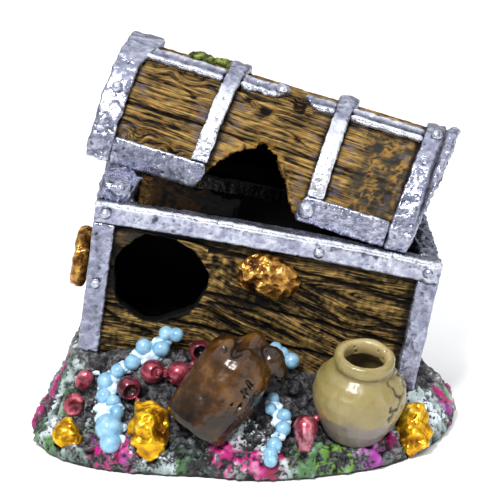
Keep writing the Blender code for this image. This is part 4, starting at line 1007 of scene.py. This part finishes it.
def make_rock():
    """Pitted gravel mound with dabs of bright paint and dry-brushed white ridges."""
    cast = dense("rock_base", ROW, 0.62)
    x, y, z = cast.points.T
    shown = step(-0.6, -0.2, cast.normals[:, 2])
    warped = cast.points / 3.0 + 0.5 * warp(cast.points / 3.5, 511)
    stones = 1 - cells(warped, 501)[0]
    pits = step(0.25, 0.55, waves(cast.points / 2.4, 502))
    broad = rough(cast.points / 8, 503, 3)
    fine = rough(cast.points / 1.7, 504, 2)
    relief = 0.6 * broad + 0.8 * (stones - 0.5) + 0.3 * fine - 0.7 * pits
    chest_side = step(2.5, 0.5, abs(abs(y - CHEST_MIDDLE_Y) - CHEST_HALF_DEPTH))
    chest_side *= abs(x) < CHEST_HALF_LENGTH
    outer = step(0.72, 0.92, np.hypot(x / ROCK_HALF_LENGTH, y / ROCK_HALF_DEPTH))
    cast.height = np.clip(0.42 + 0.45 * relief + 0.14 * outer, 0, 0.9)
    paint = np.zeros(len(x))
    for colour, *dabs in DABS:
        for dab_x, dab_y, radius in dabs:
            away = np.hypot(x - dab_x, y - dab_y)
            share = step(-0.1, 0.5, 1.1 - away / radius + 0.9 * rough(cast.points / 2.4, int(dab_x) + 600, 3))
            share = share * step(-0.1, 0.35, relief + 0.3) * shown * 0.85
            shading = np.clip(0.8 + 0.7 * relief, 0.2, 1.6)[:, None]
            cast.brush(np.array(colour) * shading, share)
            paint = np.maximum(paint, share * (colour != CHALK))
    line = line_distance(x, y, CHALK_LINE)
    cast.brush(CHALK, 0.7 * step(1.1, 0.3, line + 1.1 * waves(cast.points / 2.5, 505)) * shown)
    ridges = step(0.2, 0.7, relief + 0.5 * waves(cast.points / 5, 506))
    cast.brush(CHALK, 0.55 * ridges * outer * shown * (1 - 0.6 * paint))
    cast.brush(SAGE, 0.5 * step(0.0, 0.4, waves(cast.points / 6, 509)) * outer * shown * (1 - paint))
    cast.brush(SAGE, 0.6 * step(5.5, 3.5, z + 2.0 * waves(cast.points / 5, 507)) * (1 - paint)
               * step(-0.4, 0.2, relief))
    cast.brush(INK, step(1.6, 0.7, z) + 0.8 * shown * pits * outer)
    lift = paint * (0.5 + 0.5 * rough(cast.points / 1.6, 508, 2))
    cast.push(shown * (1.7 * relief + 0.8 * lift) * step(0.2, 1.5, z) * (1 - 0.7 * chest_side))
    cast.points[:, 2] = np.maximum(cast.points[:, 2], 0.0)
    cast.show(ROCK)


make_rock()


# ---- air line

RUBBER = moulded("black_rubber", (0.02, 0.02, 0.022), 0.6, 900)
PLASTIC = moulded("clear_plastic", (0.7, 0.76, 0.78), 0.18, 300, 0.6)
for node, material in (("air_hose", RUBBER), ("inlet_grommet", RUBBER), ("stone_stem", PLASTIC),
                       ("inlet_connector", PLASTIC)):
    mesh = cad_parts[node].data  # stays as it is, without painted attributes
    mesh.materials.clear()
    mesh.materials.append(material)
STONE = painted(
    "air_stone",
    ((0.2, (0.05, 0.08, 0.12)), (0.6, (0.2, 0.28, 0.38)), (0.9, (0.4, 0.5, 0.6))),
    (0.7, 0.95), mottle=0.6, mottle_scale=2.2, bump=1.0)
stone = dense("air_stone", CHEST_FRAME, 0.45)
stone_pits = step(0.25, 0.5, waves(stone.grain / 1.1, 601))
stone.push(-0.3 * stone_pits + 0.1 * rough(stone.grain / 1.2, 602, 2))
stone.height = 0.6 - 0.4 * stone_pits
stone.show(STONE, body="air_stone")


# ---- floor, light and camera

def make_floor():
    """Large white sheet under the object."""
    mesh = bpy.data.meshes.new("floor")
    corners = [(FLOOR_HALF * x, FLOOR_HALF * y, 0) for x, y in ((-1, -1), (1, -1), (1, 1), (-1, 1))]
    mesh.from_pydata(corners, [], [(0, 1, 2, 3)])
    paint = Recipe("floor", Base_Color=(*FLOOR_COLOUR, 1), Roughness=FLOOR_ROUGHNESS)
    mesh.materials.append(paint.material)
    placed("floor", mesh)


def make_softbox(name, place, size, power):
    """Square area light that faces the object."""
    data = bpy.data.lights.new(name, "AREA")
    data.energy = power
    data.size = size
    placed(name, data, place, (VIEW_TARGET - Vector(place)).to_track_quat("-Z", "Y").to_euler())


def make_camera():
    """Camera in front of the object and a little above it."""
    away = Vector((0, -math.cos(VIEW_ELEVATION), math.sin(VIEW_ELEVATION)))
    data = bpy.data.cameras.new("camera")
    data.sensor_fit = "VERTICAL"
    data.sensor_height = VIEW_SENSOR
    data.lens = VIEW_LENS
    bpy.context.scene.camera = placed("camera", data, VIEW_TARGET + VIEW_DISTANCE * away,
                                      (-away).to_track_quat("-Z", "Y").to_euler())


make_floor()
for light_name, (light_place, light_size, light_power) in LIGHTS.items():
    make_softbox(light_name, light_place, light_size, light_power)
world = bpy.data.worlds.new("world")
world.use_nodes = True
background = world.node_tree.nodes["Background"]
background.inputs["Color"].default_value = (*WORLD_COLOUR, 1)
background.inputs["Strength"].default_value = WORLD_STRENGTH
bpy.context.scene.world = world
bpy.context.scene.view_settings.view_transform = "Standard"
make_camera()
